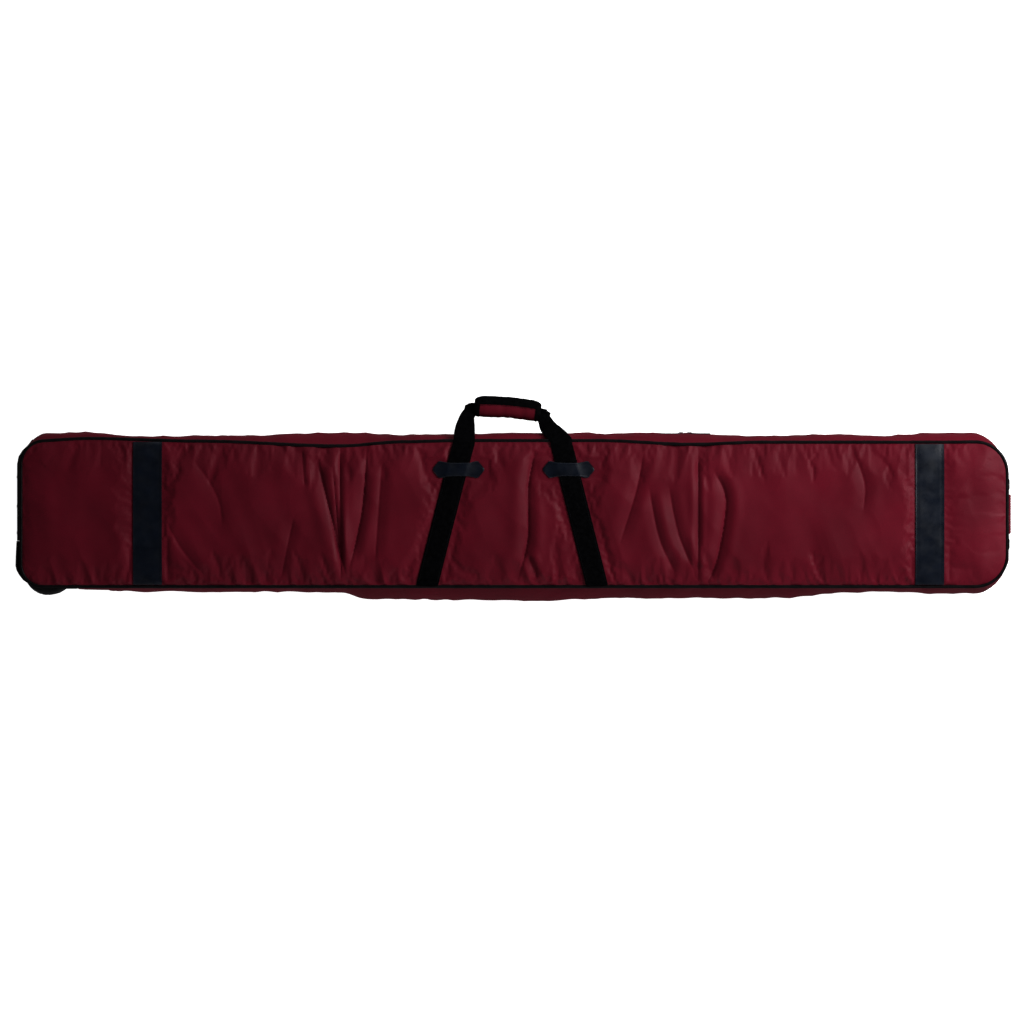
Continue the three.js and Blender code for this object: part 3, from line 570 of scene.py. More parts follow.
def fabric_offset(x, out_x, out_y, z, way):
    """The offset of the gusset's outer face at a height, with its folds."""
    share = (z - GUSSET_LOW) / (UPRIGHT_FROM - GUSSET_LOW)
    arch = math.sin(math.pi * min(1.0, max(0.0, share)))
    valley = 1 - smooth(10 * MM, 22 * MM, abs(z - ZIP_Z)) if out_y > 0 else 0
    swell, lobes = bulge(x, out_x, out_y, way)
    rim = min(z - GUSSET_LOW, GUSSET_HIGH - z)
    free = smooth(0, 18 * MM, rim) * smooth(0, 10 * MM, UPRIGHT_FROM + 6 * MM - z)
    gather = math.exp(-max(0.0, rim) / (7 * MM)) * ridged(way, z * 0.25, 17 * MM, 1)
    folds = 1.3 * MM * ridged(way + 0.35 * z, z * 0.3, 42 * MM, 2) + 0.9 * MM * rough(way, z, 90 * MM, 3)
    slant = ridged(way + 1.1 * z * math.copysign(1, rough(way, 0, 0.2, 4)), z, 33 * MM, 10)
    folds += 1.1 * MM * slant * max(0.0, rough(way, 0, 120 * MM, 12) + 0.35)
    relief = (0.6 * MM * gather + 0.7 * folds * free) * (1 - valley)
    chain = ZIP_DEPTH * out_y**6 * valley
    rise = lobes * (1.08 * arch**0.45 * (1 - valley))
    return SEAM_OFFSET + swell * arch + rise + chain + relief


def outwards(at, z, *lifts):
    """Points at a height on the gusset, one for each distance outside its outer face."""
    (x, y, ox, oy), way = at
    offset = fabric_offset(x, ox, oy, z, way)
    shift = wander(x, oy) * smooth(80 * MM, SEAM_Z, z)
    return [(x + ox * (offset + lift), y + oy * (offset + lift) + shift, z) for lift in lifts]


def gusset(name, route, z0, z1, levels, body, node):
    """A padded wall of fabric along a route, between two heights."""
    heights = np.linspace(z0, z1, levels)
    stations = travelled(route, 6 * MM)
    outer, inner = lattice(stations, heights, lambda at, z: outwards(at, z, 0, -GUSSET_THICKNESS))
    wall = add_piece(shell(name, outer, inner, [NYLON, LINING]), body, "nylon", node)


def piping(name, z, front):
    """A cord round the whole outline, slightly uneven."""
    line, radii = [], []
    for i, (x, y, ox, oy) in enumerate(dense(WHOLE_OUTLINE, 5 * MM)[:-1]):
        way = i * 5 * MM
        d = PIPING_SEAT + GAP + 0.35 * MM * rough(way, 0, 22 * MM, 5)
        shift = wander(x, oy) if front else 0
        line.append((x + ox * d, y + oy * d + shift, z + 0.35 * MM * rough(way, 1, 30 * MM, 6)))
        radii.append(PIPING_RADIUS * (1 + 0.07 * rough(way, 2, 9 * MM, 7)))
    line, radii = np.array(line), np.array(radii)
    along = unit(np.roll(line, -1, 0) - np.roll(line, 1, 0))
    side = unit(np.cross(along, (0, 0, 1)))
    up = np.cross(side, along)
    sides = 12
    angles = (np.arange(sides) * 2 * math.pi / sides)[None, :, None]
    spokes = side[:, None] * np.cos(angles) + up[:, None] * np.sin(angles)
    points = line[:, None] + spokes * radii[:, None, None]
    faces = grid_faces(len(line), sides, ring=True, pipe=True)
    return make_mesh(name, points.reshape(-1, 3), faces, VINYL, sharp=50)


# ---------------------------------------------------------------- the front panel


def half_height(x):
    """Half the panels' height at x, which is less round the corners."""
    radius = end_radius(x)
    into = abs(x) - (HALF_LENGTH - radius)
    if into <= 0:
        return HALF_HEIGHT
    return HALF_HEIGHT - radius + math.sqrt(max(0.0, radius**2 - into**2))


def panel_columns(step):
    """Places along X for a panel's grid, closer together round the corners."""
    left, right = -HALF_LENGTH + WHEEL_END_RADIUS, HALF_LENGTH - PULL_END_RADIUS
    turn = np.sin(np.linspace(0, math.pi / 2, 9)[1:])
    straight = np.linspace(left, right, math.ceil((right - left) / step) + 1)
    return np.concatenate([left - WHEEL_END_RADIUS * turn[::-1], straight, right + PULL_END_RADIUS * turn])


# Creases that folding and storage left, as points from one end to the other, with a depth and width.
CREASES = [
    ([(-0.600, 0.105), (-0.568, 0.062), (-0.548, 0.020), (-0.543, -0.020)], 1.0, 9),
    ([(-0.650, -0.010), (-0.616, -0.068), (-0.573, -0.120)], 1.1, 9),
    ([(-0.410, -0.005), (-0.434, -0.120)], 1.0, 7),
    ([(-0.395, 0.123), (-0.389, 0.049)], 1.0, 6),
    ([(-0.365, 0.097), (-0.343, 0.006), (-0.313, -0.115)], 2.6, 7),
    ([(-0.337, 0.086), (-0.324, -0.078)], 1.5, 5),
    ([(-0.274, 0.121), (-0.283, 0.006), (-0.307, -0.102)], 2.4, 8),
    ([(-0.246, 0.092), (-0.259, -0.091)], 1.2, 8),
    ([(0.039, 0.121), (0.026, 0.049), (0.026, -0.042), (0.007, -0.120)], 2.6, 8),
    ([(0.026, -0.078), (0.044, -0.120)], 1.3, 6),
    ([(0.240, 0.110), (0.227, 0.043), (0.197, -0.053)], 1.5, 8),
    ([(0.251, 0.049), (0.269, -0.042), (0.299, -0.109)], 1.5, 7),
    ([(0.288, 0.049), (0.305, -0.035), (0.336, -0.109)], 1.5, 7),
    ([(0.342, 0.128), (0.342, -0.128)], 1.8, 4),
    ([(-0.324, 0.128), (-0.322, -0.128)], 1.6, 4),
    ([(0.372, 0.080), (0.394, 0.025), (0.379, -0.078), (0.360, -0.126)], 2.6, 8),
    ([(0.634, 0.110), (0.652, 0.056), (0.649, 0.006)], 1.2, 8),
]


def crease_relief(x, y):
    """The height that the creases add at arrays of places: a sharp valley with soft ridges beside it."""
    total = np.zeros_like(x)
    for points, depth, width in CREASES:
        w = width * MM
        line = refine(np.array(points), 6)
        best, share = np.ones_like(x), np.zeros_like(x)
        for k, (start, end) in enumerate(zip(line, line[1:])):
            dx, dy = end - start
            t = np.clip(((x - start[0]) * dx + (y - start[1]) * dy) / (dx * dx + dy * dy), 0, 1)
            px, py = x - start[0] - t * dx, y - start[1] - t * dy
            far = np.hypot(px, py)
            nearer = far < np.abs(best)
            best = np.where(nearer, np.copysign(far, dx * py - dy * px), best)
            share = np.where(nearer, (k + t) / (len(line) - 1), share)
        fade = smooth(0, 0.22, share) * smooth(1, 0.78, share)
        valley = 1.3 * np.exp(-np.abs(best) / (0.4 * w)) + 0.9 * np.exp(-((best / (2.2 * w)) ** 2))
        left = np.exp(-(((best - 2.2 * w) / (1.5 * w)) ** 2))
        right = np.exp(-(((best + 2.6 * w) / (1.8 * w)) ** 2))
        total += 1.45 * depth * MM * (0.2 + 0.8 * fade) * (-valley + 0.75 * left + 0.6 * right)
    return total


def strap_x(side, y):
    xs, ys = zip(*STRAP_PATHS[side])
    return float(np.interp(y, ys, xs))


def sewn_down(x, y):
    """1 where the panel is held flat under a stripe, strap or keeper, and 0 where it's free."""
    held = [1 - smooth(26 * MM, 40 * MM, abs(x - centre)) for centre in STRIPES.values()]
    held += [1 - smooth(20 * MM, 34 * MM, abs(x - strap_x(side, y))) for side in STRAP_PATHS]
    for place in KEEPERS.values():
        reach = max(abs(x - place.x) / (48 * MM), abs(y - place.y) / (16 * MM))
        held.append(1 - smooth(0.95, 1.5, reach))
    return float(max(held))


def edge_distance(x, y):
    """How far inside the panels' outline a place is."""
    radius = end_radius(x)
    dx, dy = HALF_LENGTH - abs(x), HALF_HEIGHT - abs(y)
    if dx < radius and dy < radius:
        return max(0.0, radius - math.hypot(radius - dx, radius - dy))
    return max(0.0, min(dx, dy))


CROWN = 8.5 * MM
RIM_LIFT = 1.6 * MM # the skin's height over the seam, at the piping


def front_start(x, y):
    """The front skin's height before it is simulated."""
    d = edge_distance(x, y)
    dome = CROWN * (1 - math.exp(-d / (26 * MM)))
    slack = 3.2 * MM * rough(x, y * 0.45, 110 * MM, 11)
    slack += 2.2 * MM * rough(x + 0.3 * y, y * 0.5, 48 * MM, 12)
    return SEAM_Z + RIM_LIFT + dome + slack * (1 - 0.8 * sewn_down(x, y)) * smooth(0, 35 * MM, d)


def front_detail(x, y, creases):
    """Folds finer than the simulation's grid: creases, and gathers along the seams."""
    d = edge_distance(x, y)
    held = sewn_down(x, y)
    on_side = HALF_HEIGHT - abs(y) < HALF_LENGTH - abs(x)
    way = x if on_side else y + 5
    seed = 13 if y > 0 else 14
    strength = (1 if on_side else 0.3) * (1 + 0.9 * rough(way, 0, 190 * MM, seed + 7))
    long_folds = ridged(way + 0.3 * d, 0.22 * d, 34 * MM, seed) * math.exp(-d / (38 * MM))
    short_folds = ridged(way, d * 0.3, 15 * MM, seed + 3) * math.exp(-d / (12 * MM))
    gathers = (1.9 * MM * long_folds + 1.1 * MM * short_folds) * strength * smooth(0, 5 * MM, d)
    inside = smooth(0, 14 * MM, d)
    fine = 0.5 * MM * ridged(x + 0.4 * y, 0.5 * y, 60 * MM, 15) * inside
    return (gathers + fine) * (1 - 0.75 * held) + creases * inside * (1 - 0.85 * held)


CLOTH = {
    "quality": 5, "mass": 0.25, "tension_stiffness": 18, "compression_stiffness": 14, "shear_stiffness": 6,
    "bending_stiffness": 0.35, "tension_damping": 12, "compression_damping": 12, "shear_damping": 12,
    "bending_damping": 0.8, "air_damping": 4, "use_pressure": True, "pin_stiffness": 5,
    "vertex_group_mass": "pin",
}


def simulate(grid, pinned, slack, pressure, frames, cap):
    """Lets a grid of fabric settle between its pinned points, and gives the settled grid."""
    rows, columns = grid.shape[:2]
    obj = make_mesh("cloth", grid.reshape(-1, 3), grid_faces(rows, columns), NYLON, closed=False)
    group = obj.vertex_groups.new(name="pin")
    for index, weight in enumerate(pinned.ravel()):
        if weight > 0:
            group.add([index], float(weight), "REPLACE")
    cloth = obj.modifiers.new("Cloth", "CLOTH")
    for setting, value in CLOTH.items():
        setattr(cloth.settings, setting, value)
    cloth.settings.uniform_pressure_force = pressure
    cloth.settings.shrink_min = -slack
    cloth.settings.effector_weights.gravity = 0
    cloth.collision_settings.use_collision = False
    cloth.collision_settings.use_self_collision = False
    cloth.point_cache.frame_start = 1
    cloth.point_cache.frame_end = frames
    scene = bpy.context.scene
    for number in range(1, frames + 1):
        scene.frame_set(number)
    settled = obj.evaluated_get(bpy.context.evaluated_depsgraph_get())
    points = np.empty(rows * columns * 3)
    settled.data.vertices.foreach_get("co", points)
    scene.frame_set(1)
    mesh = obj.data
    bpy.data.objects.remove(obj)
    bpy.data.meshes.remove(mesh)
    move = points.reshape(grid.shape) - grid
    length = np.linalg.norm(move, axis=-1, keepdims=True)
    return grid + move * np.minimum(1, cap / np.maximum(length, 1e-9))


def panel_grid(step, height):
    """A grid over the front panel: rows along X, points up the panel in each."""
    shares = np.linspace(0, 1, math.ceil(2 * HALF_HEIGHT / step) + 1)

    def place(x, share):
        half = half_height(x)
        y = -half + 2 * half * share
        return [(x, y + between(TOP_WANDER, x) * share**3, height(x, y))]

    return lattice(panel_columns(step), shares, place)[0]


def settled_front():
    grid = panel_grid(5.4 * MM, front_start)
    pinned = np.array([[0.6 * sewn_down(x, y) ** 2 for x, y, _ in row] for row in grid])
    pinned[0] = pinned[-1] = 1
    pinned[:, 0] = pinned[:, -1] = 1
    settled = simulate(grid, pinned, slack=0.010, pressure=1.2, frames=22, cap=5 * MM)
    calm = 0.3 + 0.7 * smooth(HALF_LENGTH - 60 * MM, HALF_LENGTH - 110 * MM, np.abs(grid[..., :1]))
    return grid + (settled - grid) * calm


def add_front_pad():
    """The front panel's skin and foam as one padded piece. Gives its upper surface for other pieces."""
    top = refine(settled_front(), 3)
    top = refine(top.transpose(1, 0, 2), 2).transpose(1, 0, 2)
    creases = crease_relief(top[..., 0], top[..., 1])
    for row, heights in zip(top, creases):
        for point, height in zip(row, heights):
            point[2] += front_detail(point[0], point[1], height)
    under = top.copy()
    under[..., 2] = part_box("front_foam")[0].z
    pad = shell("front_pad", top, under, NYLON, sharp=60)
    add_piece(pad, "lid", "nylon", "front_panel", "front_foam")
    return surface_of(top)


def surface_of(grid):
    return BVHTree.FromPolygons([Vector(p) for p in grid.reshape(-1, 3)], grid_faces(*grid.shape[:2]))


def height_on(surface, x, y, otherwise):
    """The height of a surface seen from above, or another value where there is none."""
    hit = surface.ray_cast(Vector((x, y, 0.3)), Vector((0, 0, -1)))[0]
    return hit.z if hit is not None else otherwise


FRONT = add_front_pad()


def front_z(x, y):
    """The height of the front panel's surface."""
    limit = 1.5 * MM
    x = min(max(x, -HALF_LENGTH + limit), HALF_LENGTH - limit)
    half = half_height(x) - limit
    y = min(max(y, -half), half + between(TOP_WANDER, x))
    return height_on(FRONT, x, y, SEAM_Z + RIM_LIFT)


def front_over(x, y, reach):
    """The front panel's highest point within reach of a place."""
    around = [(0, 0), (reach, 0), (-reach, 0), (0, reach), (0, -reach)]
    return max(front_z(x + dx, y + dy) for dx, dy in around)


# ---------------------------------------------------------------- stitches

THREAD_RADIUS = 0.32 * MM
THREAD_SHARE = 0.68 # of the pitch, that a stitch fills
# A stitch's rings: the place along it, the share of its radius, and the lift, in radii.
STITCH_RINGS = [(0, 0.45, -0.5), (0.22, 1, 0.5), (0.78, 1, 0.5), (1, 0.45, -0.5)]


def stitches(name, line, up, pitch, body, slot, material=THREAD, radius=THREAD_RADIUS):
    """A row of stitches along a line of points, each a short thread that dips in at both ends."""
    line = np.asarray(line, float)
    up = np.broadcast_to(np.asarray(up, float), line.shape)
    way = np.concatenate([[0], np.cumsum(np.linalg.norm(np.diff(line, axis=0), axis=1))])
    count = max(1, int(way[-1] / pitch))
    sides = 5
    angles = [2 * math.pi * k / sides for k in range(sides)]
    points, faces = [], []

    def at(w, array):
        return np.array([np.interp(w, way, array[:, k]) for k in range(3)])

    for n in range(count):
        start = (n + 0.5 * (1 - THREAD_SHARE)) * way[-1] / count
        end = start + THREAD_SHARE * way[-1] / count
        a, b = at(start, line), at(end, line)
        normal = unit(at((start + end) / 2, up))
        side = np.cross(normal, (b - a) / max(1e-9, np.linalg.norm(b - a)))
        base = len(points)
        for t, size, lift in STITCH_RINGS:
            centre = a + (b - a) * t + normal * lift * radius
            points += [centre + (side * math.cos(k) + normal * math.sin(k)) * radius * size for k in angles]
        faces += grid_faces(len(STITCH_RINGS), sides, base, pipe=True)
        faces += [range(base, base + sides), range(len(points) - sides, len(points))]
    return add_piece(make_mesh(name, points, faces, material, sharp=80), body, slot)


# ---------------------------------------------------------------- webbing


def smooth_line(rows, spacing):
    """A smooth curve through rows of numbers whose first three are a point, at an even spacing."""
    rows = refine(np.array(rows, float), 12)
    way = np.concatenate([[0], np.cumsum(np.linalg.norm(np.diff(rows[:, :3], axis=0), axis=1))])
    places = np.linspace(0, way[-1], max(2, math.ceil(way[-1] / spacing) + 1))
    return np.stack([np.interp(places, way, rows[:, k]) for k in range(rows.shape[1])], 1), places


def ribbon(name, rows, thickness, spacing=4 * MM):
    """Webbing along rows of (x, y, z, half width, face x, face y, face z, squareness).

    Where the squareness is 1 the webbing is cut along X, and where it's 0 square across its line."""
    line, places = smooth_line([(*row, 0)[:8] for row in rows], spacing)
    centre, half, face, square = line[:, :3], line[:, 3], unit(line[:, 4:7]), line[:, 7:8]
    along = unit(np.gradient(centre, axis=0))
    straight = unit(np.cross(face, along))
    up = unit(np.cross(along, straight))
    level = np.array([1.0, 0, 0]) * np.sign(straight[:, :1] + 1e-9)
    level = unit(level - up * np.sum(level * up, axis=1, keepdims=True))
    across = unit(straight * (1 - square) + level * square)
    half = (half / np.sum(across * straight, axis=1))[:, None]
    shares = np.linspace(-1, 1, 13)
    rounding = np.sqrt(np.maximum(0, 1 - np.abs(shares) ** 9))
    core = centre[:, None] + (across * half)[:, None] * shares[:, None]
    lift = up[:, None] * (0.5 * thickness * (0.35 + 0.65 * rounding))[:, None]
    uv = np.stack(np.broadcast_arrays(shares * half, places[:, None]), -1)
    return shell(name, core + lift, core - lift, WEBBING, uv, 55), core + lift


# The free part of the front handle, close to the frame's: x, y, z, half its width and how far it has
# turned from the legs' slope to the grip's level.
HANDLE_LINE = [
    (-93, 135, 122.8, 20, 0),
    (-92.8, 151, 106.5, 19.2, 0),
    (-91.6, 164.5, 91, 17.6, 0.1),
    (-90, 174.5, 79.5, 15.4, 0.3),
    (-87.5, 183.5, 70.5, 13.2, 0.6),
    (-81.5, 191, 66, 12, 0.9),
    (-72, 197, 64.2, 11.5, 1),
    (47, 187, 64.2, 11.5, 1),
    (54, 181, 66, 12, 0.9),
    (59, 172.5, 71, 13.5, 0.6),
    (64, 164.5, 81, 16, 0.3),
    (71.5, 156, 95, 18.5, 0.1),
    (80, 146.5, 109, 19.6, 0),
    (87, 135, 122.8, 20, 0),
]


def strap_rows(side, z_at):
    """Rows of a strap on a panel, from its foot up to the top edge."""
    ys = np.linspace(-HALF_HEIGHT - 0.5 * MM, 127 * MM, 32)
    return [(strap_x(side, y), y, z_at(strap_x(side, y), y), WEBBING_HALF, 0, 0, 1, 1) for y in ys]


def handle_rows(mirror_z=None):
    """Rows of a handle's free part. The back handle is the front one's mirror image."""
    rows = []
    for x, y, z, half, level in HANDLE_LINE:
        height, slope = (z * MM, 1.0) if mirror_z is None else (mirror_z - z * MM, -1.0)
        square = smooth(1, 0, level) if y > 140 else 1
        facing = (0, 1 - level, slope * (1 - level) + level)
        rows.append((x * MM, y * MM, height, half * MM, *facing, square))
    return rows


def add_front_webbing():
    """One length of webbing: up the panel, round through the grip and down the panel again."""
    rest = 0.4 * MM + WEBBING_THICKNESS / 2

    def on_panel(x, y):
        reach = [front_z(x + dx * MM, y + dy * MM) for dx in (-18, -9, 0, 9, 18) for dy in (-8, 0, 8)]
        tucked = 1.2 * MM * smooth(-129 * MM, -132 * MM, y)
        return max(max(reach) - 0.6 * MM, SEAM_Z) + rest - tucked

    top = SEAM_Z + PIPING_SEAT + rest + 1.2 * MM
    edge = 131 * MM
    handle = handle_rows()
    halves = []
    for side, (x, y, _, *others) in (("left", handle[0]), ("right", handle[-1])):
        over = (strap_x(side, edge), edge, top + 1.6 * MM, WEBBING_HALF, 0, 0.25, 1, 1)
        past = (x, y + 2.5 * MM, top - 0.4 * MM, *others)
        halves.append(strap_rows(side, on_panel) + [over, past])
    rows = halves[0] + handle[1:-1] + halves[1][::-1]
    obj, outer = ribbon("front_webbing", rows, WEBBING_THICKNESS)
    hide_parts("front_strap_left", "front_strap_right", "front_handle_webbing")
    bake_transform(obj)
    return outer


def add_back_webbing():
    """The same length of webbing on the back."""
    flush = 1.15 * MM
    handle = handle_rows(HANDLE_LINE[0][2] * MM + WEBBING_THICKNESS / 2)
    halves = []
    for side, (x, *_) in (("left", handle[0]), ("right", handle[-1])):
        rise = (x, 133 * MM, flush + 0.9 * MM, WEBBING_HALF, 0, 0, 1, 1)
        bend = (x * 0.98, 142 * MM, 8.4 * MM, WEBBING_HALF, 0, 1, -1, 1)
        halves.append(strap_rows(side, lambda x, y: flush) + [rise, bend])
    rows = halves[0] + handle[1:-1] + halves[1][::-1]
    obj, _ = ribbon("back_webbing", rows, WEBBING_THICKNESS)
    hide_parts("back_strap_left", "back_strap_right", "back_handle_webbing")
    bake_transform(obj)


def strap_seams(outer):
    """Two rows of stitches along each strap's edges, where it lies on the front panel."""
    for name, rows in (("left", outer[: len(outer) // 2]), ("right", outer[len(outer) // 2 :])):
        for label, column in (("a", 1), ("b", -2)):
            line = rows[:, column]
            on_panel = line[(line[:, 1] < 74 * MM) & (line[:, 1] > -128 * MM)]
            stitches(f"lid_strap_seam_{name}_{label}", on_panel, (0, 0, 1), 4 * MM, "lid", "webbing")


# ---------------------------------------------------------------- leatherette trim

LEATHER = 1.7 * MM
STRIPE_SEAM = 0.88 # of the stripe's half width
KEEPER_REACH = 47.5 * MM
KEEPER_SEAM = 0.74 # of the keeper's half height
# Half the keeper's height by the distance from its middle, in millimetres: a waist and pointed ends.
KEEPER_SHAPE = [(0, 12.2), (20, 12.6), (27, 14.2), (33, 15.6), (37, 15.2), (47.5, 2.2)]


def add_stripe(side, centre):
    """A band of leatherette sewn over the panel, from piping to piping."""
    across = np.concatenate([[-1, -0.985, -0.95], np.linspace(-0.85, 0.85, 15), [0.95, 0.985, 1]])
    ys = np.linspace(-HALF_HEIGHT + 0.5 * MM, HALF_HEIGHT - 0.5 * MM + between(TOP_WANDER, centre), 90)
    under = lattice(ys, across, lambda y, share: [front_over(centre + share * STRIPE_HALF, y, 3 * MM)])[0]
    for _ in range(14):
        under[1:-1] = np.maximum(under[1:-1], (under[:-2] + under[2:]) / 2)
        under[:, 1:-1] = np.maximum(under[:, 1:-1], (under[:, :-2] + under[:, 2:]) / 2)

    def place(row, column):
        y, share, z = ys[row], across[column], under[row, column]
        x = centre + share * STRIPE_HALF
        seam = math.exp(-(((abs(share) - STRIPE_SEAM) / 0.05) ** 2))
        height = LEATHER - 0.45 * MM * seam - 0.5 * MM * (abs(share) > 0.99)
        swell = 0.25 * MM * rough(x, y, 34 * MM, 21) * (1 - abs(share) ** 4)
        return (x, y, z + height + swell), (x, y, z + 0.15 * MM)

    outer, inner = lattice(range(len(ys)), range(len(across)), place)
    band = shell(f"front_stripe_{side}_leather", outer, inner, LEATHERETTE, sharp=50)
    add_piece(band, "lid", "leatherette", f"front_stripe_{side}")
    for label, share in (("a", -STRIPE_SEAM), ("b", STRIPE_SEAM)):
        line = outer[2:-2, np.argmin(np.abs(across - share))] + np.array([0, 0, 0.1 * MM])
        stitches(f"front_stripe_{side}_seam_{label}", line, (0, 0, 1), 3.6 * MM, "lid", "leatherette")


def add_keeper(side, middle_place, webbing):
    """A pointed strip of leatherette over the strap, sewn to the panel on both sides of it."""
    strap = surface_of(webbing)
    points = np.linspace(-KEEPER_REACH, -33 * MM, 9)
    xs = np.concatenate([points, np.linspace(-31 * MM, 31 * MM, 27), -points[::-1]])
    shares = np.concatenate([[-1, -0.96], np.linspace(-0.86, 0.86, 11), [0.96, 1]])

    def on_strip(x, share):
        half = np.interp(abs(x) / MM, *zip(*KEEPER_SHAPE)) * MM
        return middle_place.x + x, middle_place.y + half * share

    def rest(x, share):
        px, py = on_strip(x, share)
        return [max(front_over(px, py, 2 * MM) + 0.2 * MM, height_on(strap, px, py, 0) + 0.25 * MM)]

    under = lattice(xs, shares, rest)[0]
    for _ in range(12):
        under[1:-1] = np.maximum(under[1:-1], (under[:-2] + under[2:]) / 2)

    def place(row, column):
        x, share, z = xs[row], shares[column], under[row, column]
        edge = 0.5 * MM * (abs(share) > 0.99) + 0.5 * MM * (abs(x) > KEEPER_REACH - 0.5 * MM)
        seam = 0.35 * MM * math.exp(-(((abs(share) - KEEPER_SEAM) / 0.09) ** 2))
        spot = on_strip(x, share)
        return (*spot, z + LEATHER + 0.2 * MM - edge - seam), (*spot, z)

    outer, inner = lattice(range(len(xs)), range(len(shares)), place)
    strip = shell(f"keeper_{side}_leather", outer, inner, LEATHERETTE, sharp=50)
    add_piece(strip, "lid", "leatherette", f"keeper_{side}")
    low, high = (outer[2:-2, np.argmin(np.abs(shares - s))] for s in (-KEEPER_SEAM, KEEPER_SEAM))
    loop = np.concatenate([low, high[::-1], low[:1]]) + np.array([0, 0, 0.1 * MM])
    stitches(f"keeper_{side}_seam", loop, (0, 0, 1), 3.2 * MM, "lid", "leatherette")


# ---------------------------------------------------------------- the grip wrap

GRIP_HALF_LENGTH = 61 * MM
GRIP_HALF_Y = 19 * MM
GRIP_HALF_Z = 15 * MM
GRIP_TILT = -0.085
GRIP_CENTRE = middle("grip_wrap")
GRIP_CENTRE.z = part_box("grip_wrap")[1].z - GRIP_HALF_Z
BINDING = 9 * MM


def grip_section(t):
    """A point of the wrap's outer outline and its normal. t goes from 0, the slot's edge at the bottom
    on the bag's side, over the top, to 1, the slot's other edge."""
    power = 2.6
    angle = math.radians(-122 - 296 * t)
    c, s = math.cos(angle), math.sin(angle)
    y = GRIP_HALF_Y * math.copysign(abs(c) ** (2 / power), c)
    z = GRIP_HALF_Z * math.copysign(abs(s) ** (2 / power), s)
    return y, z, unit(np.array([0, c / GRIP_HALF_Y, s / GRIP_HALF_Z]))


def grip_point(x, t, lift):
    """A point on the wrap. x is along it from its middle, and lift is its distance from the surface."""
    y, z, normal = grip_section(t)
    end = abs(x) / GRIP_HALF_LENGTH
    pinch = 1 - 0.22 * end**10
    lower = math.exp(-((t - 0.05) / 0.10) ** 2)
    folds = 0.9 * MM * ridged(x, t * 0.02, 15 * MM, 31) * (0.35 + lower)
    swell = 0.7 * MM * rough(x, t * 0.08, 30 * MM, 32)
    arch = (1.2 - 3.2 * end**2) * MM
    local = np.array([x, y * pinch + arch, z * pinch]) + normal * (lift + (folds + swell) * (1 - end**6))
    c, s = math.cos(GRIP_TILT), math.sin(GRIP_TILT)
    turned_place = (local[0] * c - local[1] * s, local[0] * s + local[1] * c, local[2])
    return np.array(GRIP_CENTRE) + turned_place


def grip_patch(name, x0, x1, t0, t1, lift, thickness, counts, material=WEBBING, slot="webbing", nodes=()):
    """Part of the wrap: a shell over a stretch of it, between two places on its outline."""

    def place(x, t):
        return grip_point(x, t, lift), grip_point(x, t, lift - thickness)

    outer, inner = lattice(np.linspace(x0, x1, counts[0]), np.linspace(t0, t1, counts[1]), place)
    return add_piece(shell(name, outer, inner, material, sharp=55), "front_handle", slot, *nodes)


def add_grip():
    end = GRIP_HALF_LENGTH
    padding = dict(material=NYLON, slot="nylon", nodes=["grip_wrap"])
    wrap = grip_patch("grip_wrap_padding", -end, end, 0, 1, 0, 3.2 * MM, (60, 44), **padding)
    over = end + 0.6 * MM
    grip_patch("grip_band", -over, over, 0.528, 0.86, 1.5 * MM, 2 * MM, (60, 18))
    over = end + 1.5 * MM
    grip_patch("grip_binding_left", -over, -end + BINDING, 0, 1, 0.9 * MM, 4.6 * MM, (8, 60))
    grip_patch("grip_binding_right", end - BINDING, over, 0, 1, 0.9 * MM, 4.6 * MM, (8, 60))
    grip_patch("grip_edge_near", -end, end, -0.012, 0.035, 0.8 * MM, 4.4 * MM, (60, 6))
    grip_patch("grip_edge_far", -end, end, 0.965, 1.012, 0.8 * MM, 4.4 * MM, (60, 6))
    for name, t in (("near", 0.045), ("far", 0.512)):
        line = [grip_point(x, t, 0.15 * MM) for x in np.linspace(-end + BINDING, end - BINDING, 40)]
        stitches(f"grip_seam_{name}", line, grip_section(t)[2], 3.2 * MM, "front_handle", "nylon")


# ---------------------------------------------------------------- gussets and the zip

FABRIC_EDGE = 4.6 * MM # how far the gusset's edge stays from the teeth
TOOTH_PITCH = 2.1 * MM
TOOTH_PROFILE = [(0.15, 0.30, 0.5), (0.5, 0.42, 0.95), (1.6, 0.40, 1.15), (2.9, 0.30, 0.7)]


def zip_strip(name, direction, body, node):
    """One side's woven tape, from the teeth to under the gusset's edge."""
    distances = np.array([0.4, 1.5, 3, 5, 8, 11.5]) * MM

    def place(at, distance):
        z = ZIP_Z + direction * distance
        return *outwards(at, z, -1.0 * MM, -1.8 * MM), (distance, at[1])

    outer, inner, uv = lattice(travelled(ZIP_ROUTE, 7 * MM), distances, place)
    add_piece(shell(name, outer, inner, ZIP_TAPE, uv), body, "zip_tape", node)


def zip_teeth(name, direction, body):
    """A row of coil teeth. The two rows are half a pitch apart."""
    points, faces = [], []
    for at in travelled(ZIP_ROUTE, TOOTH_PITCH):
        _, _, ox, oy = at[0]
        along, out = np.array([-oy, ox, 0]), np.array([ox, oy, 0])
        root = np.array(outwards(at, ZIP_Z, -0.7 * MM)[0]) + along * direction * 0.25 * TOOTH_PITCH
        start = len(points)
        for reach, wide, high in TOOTH_PROFILE:
            centre = root + np.array([0, 0, direction * reach * MM])
            half = along * wide * TOOTH_PITCH * 0.8
            tip = centre + out * high * MM
            points += [centre - half, centre + half, tip + half * 0.6, tip - half * 0.6]
        faces += grid_faces(4, 4, start, pipe=True)
        faces += [range(start, start + 4), range(start + 12, start + 16)]
    add_piece(make_mesh(name, points, faces, COIL, sharp=50), body, "zip_tape")


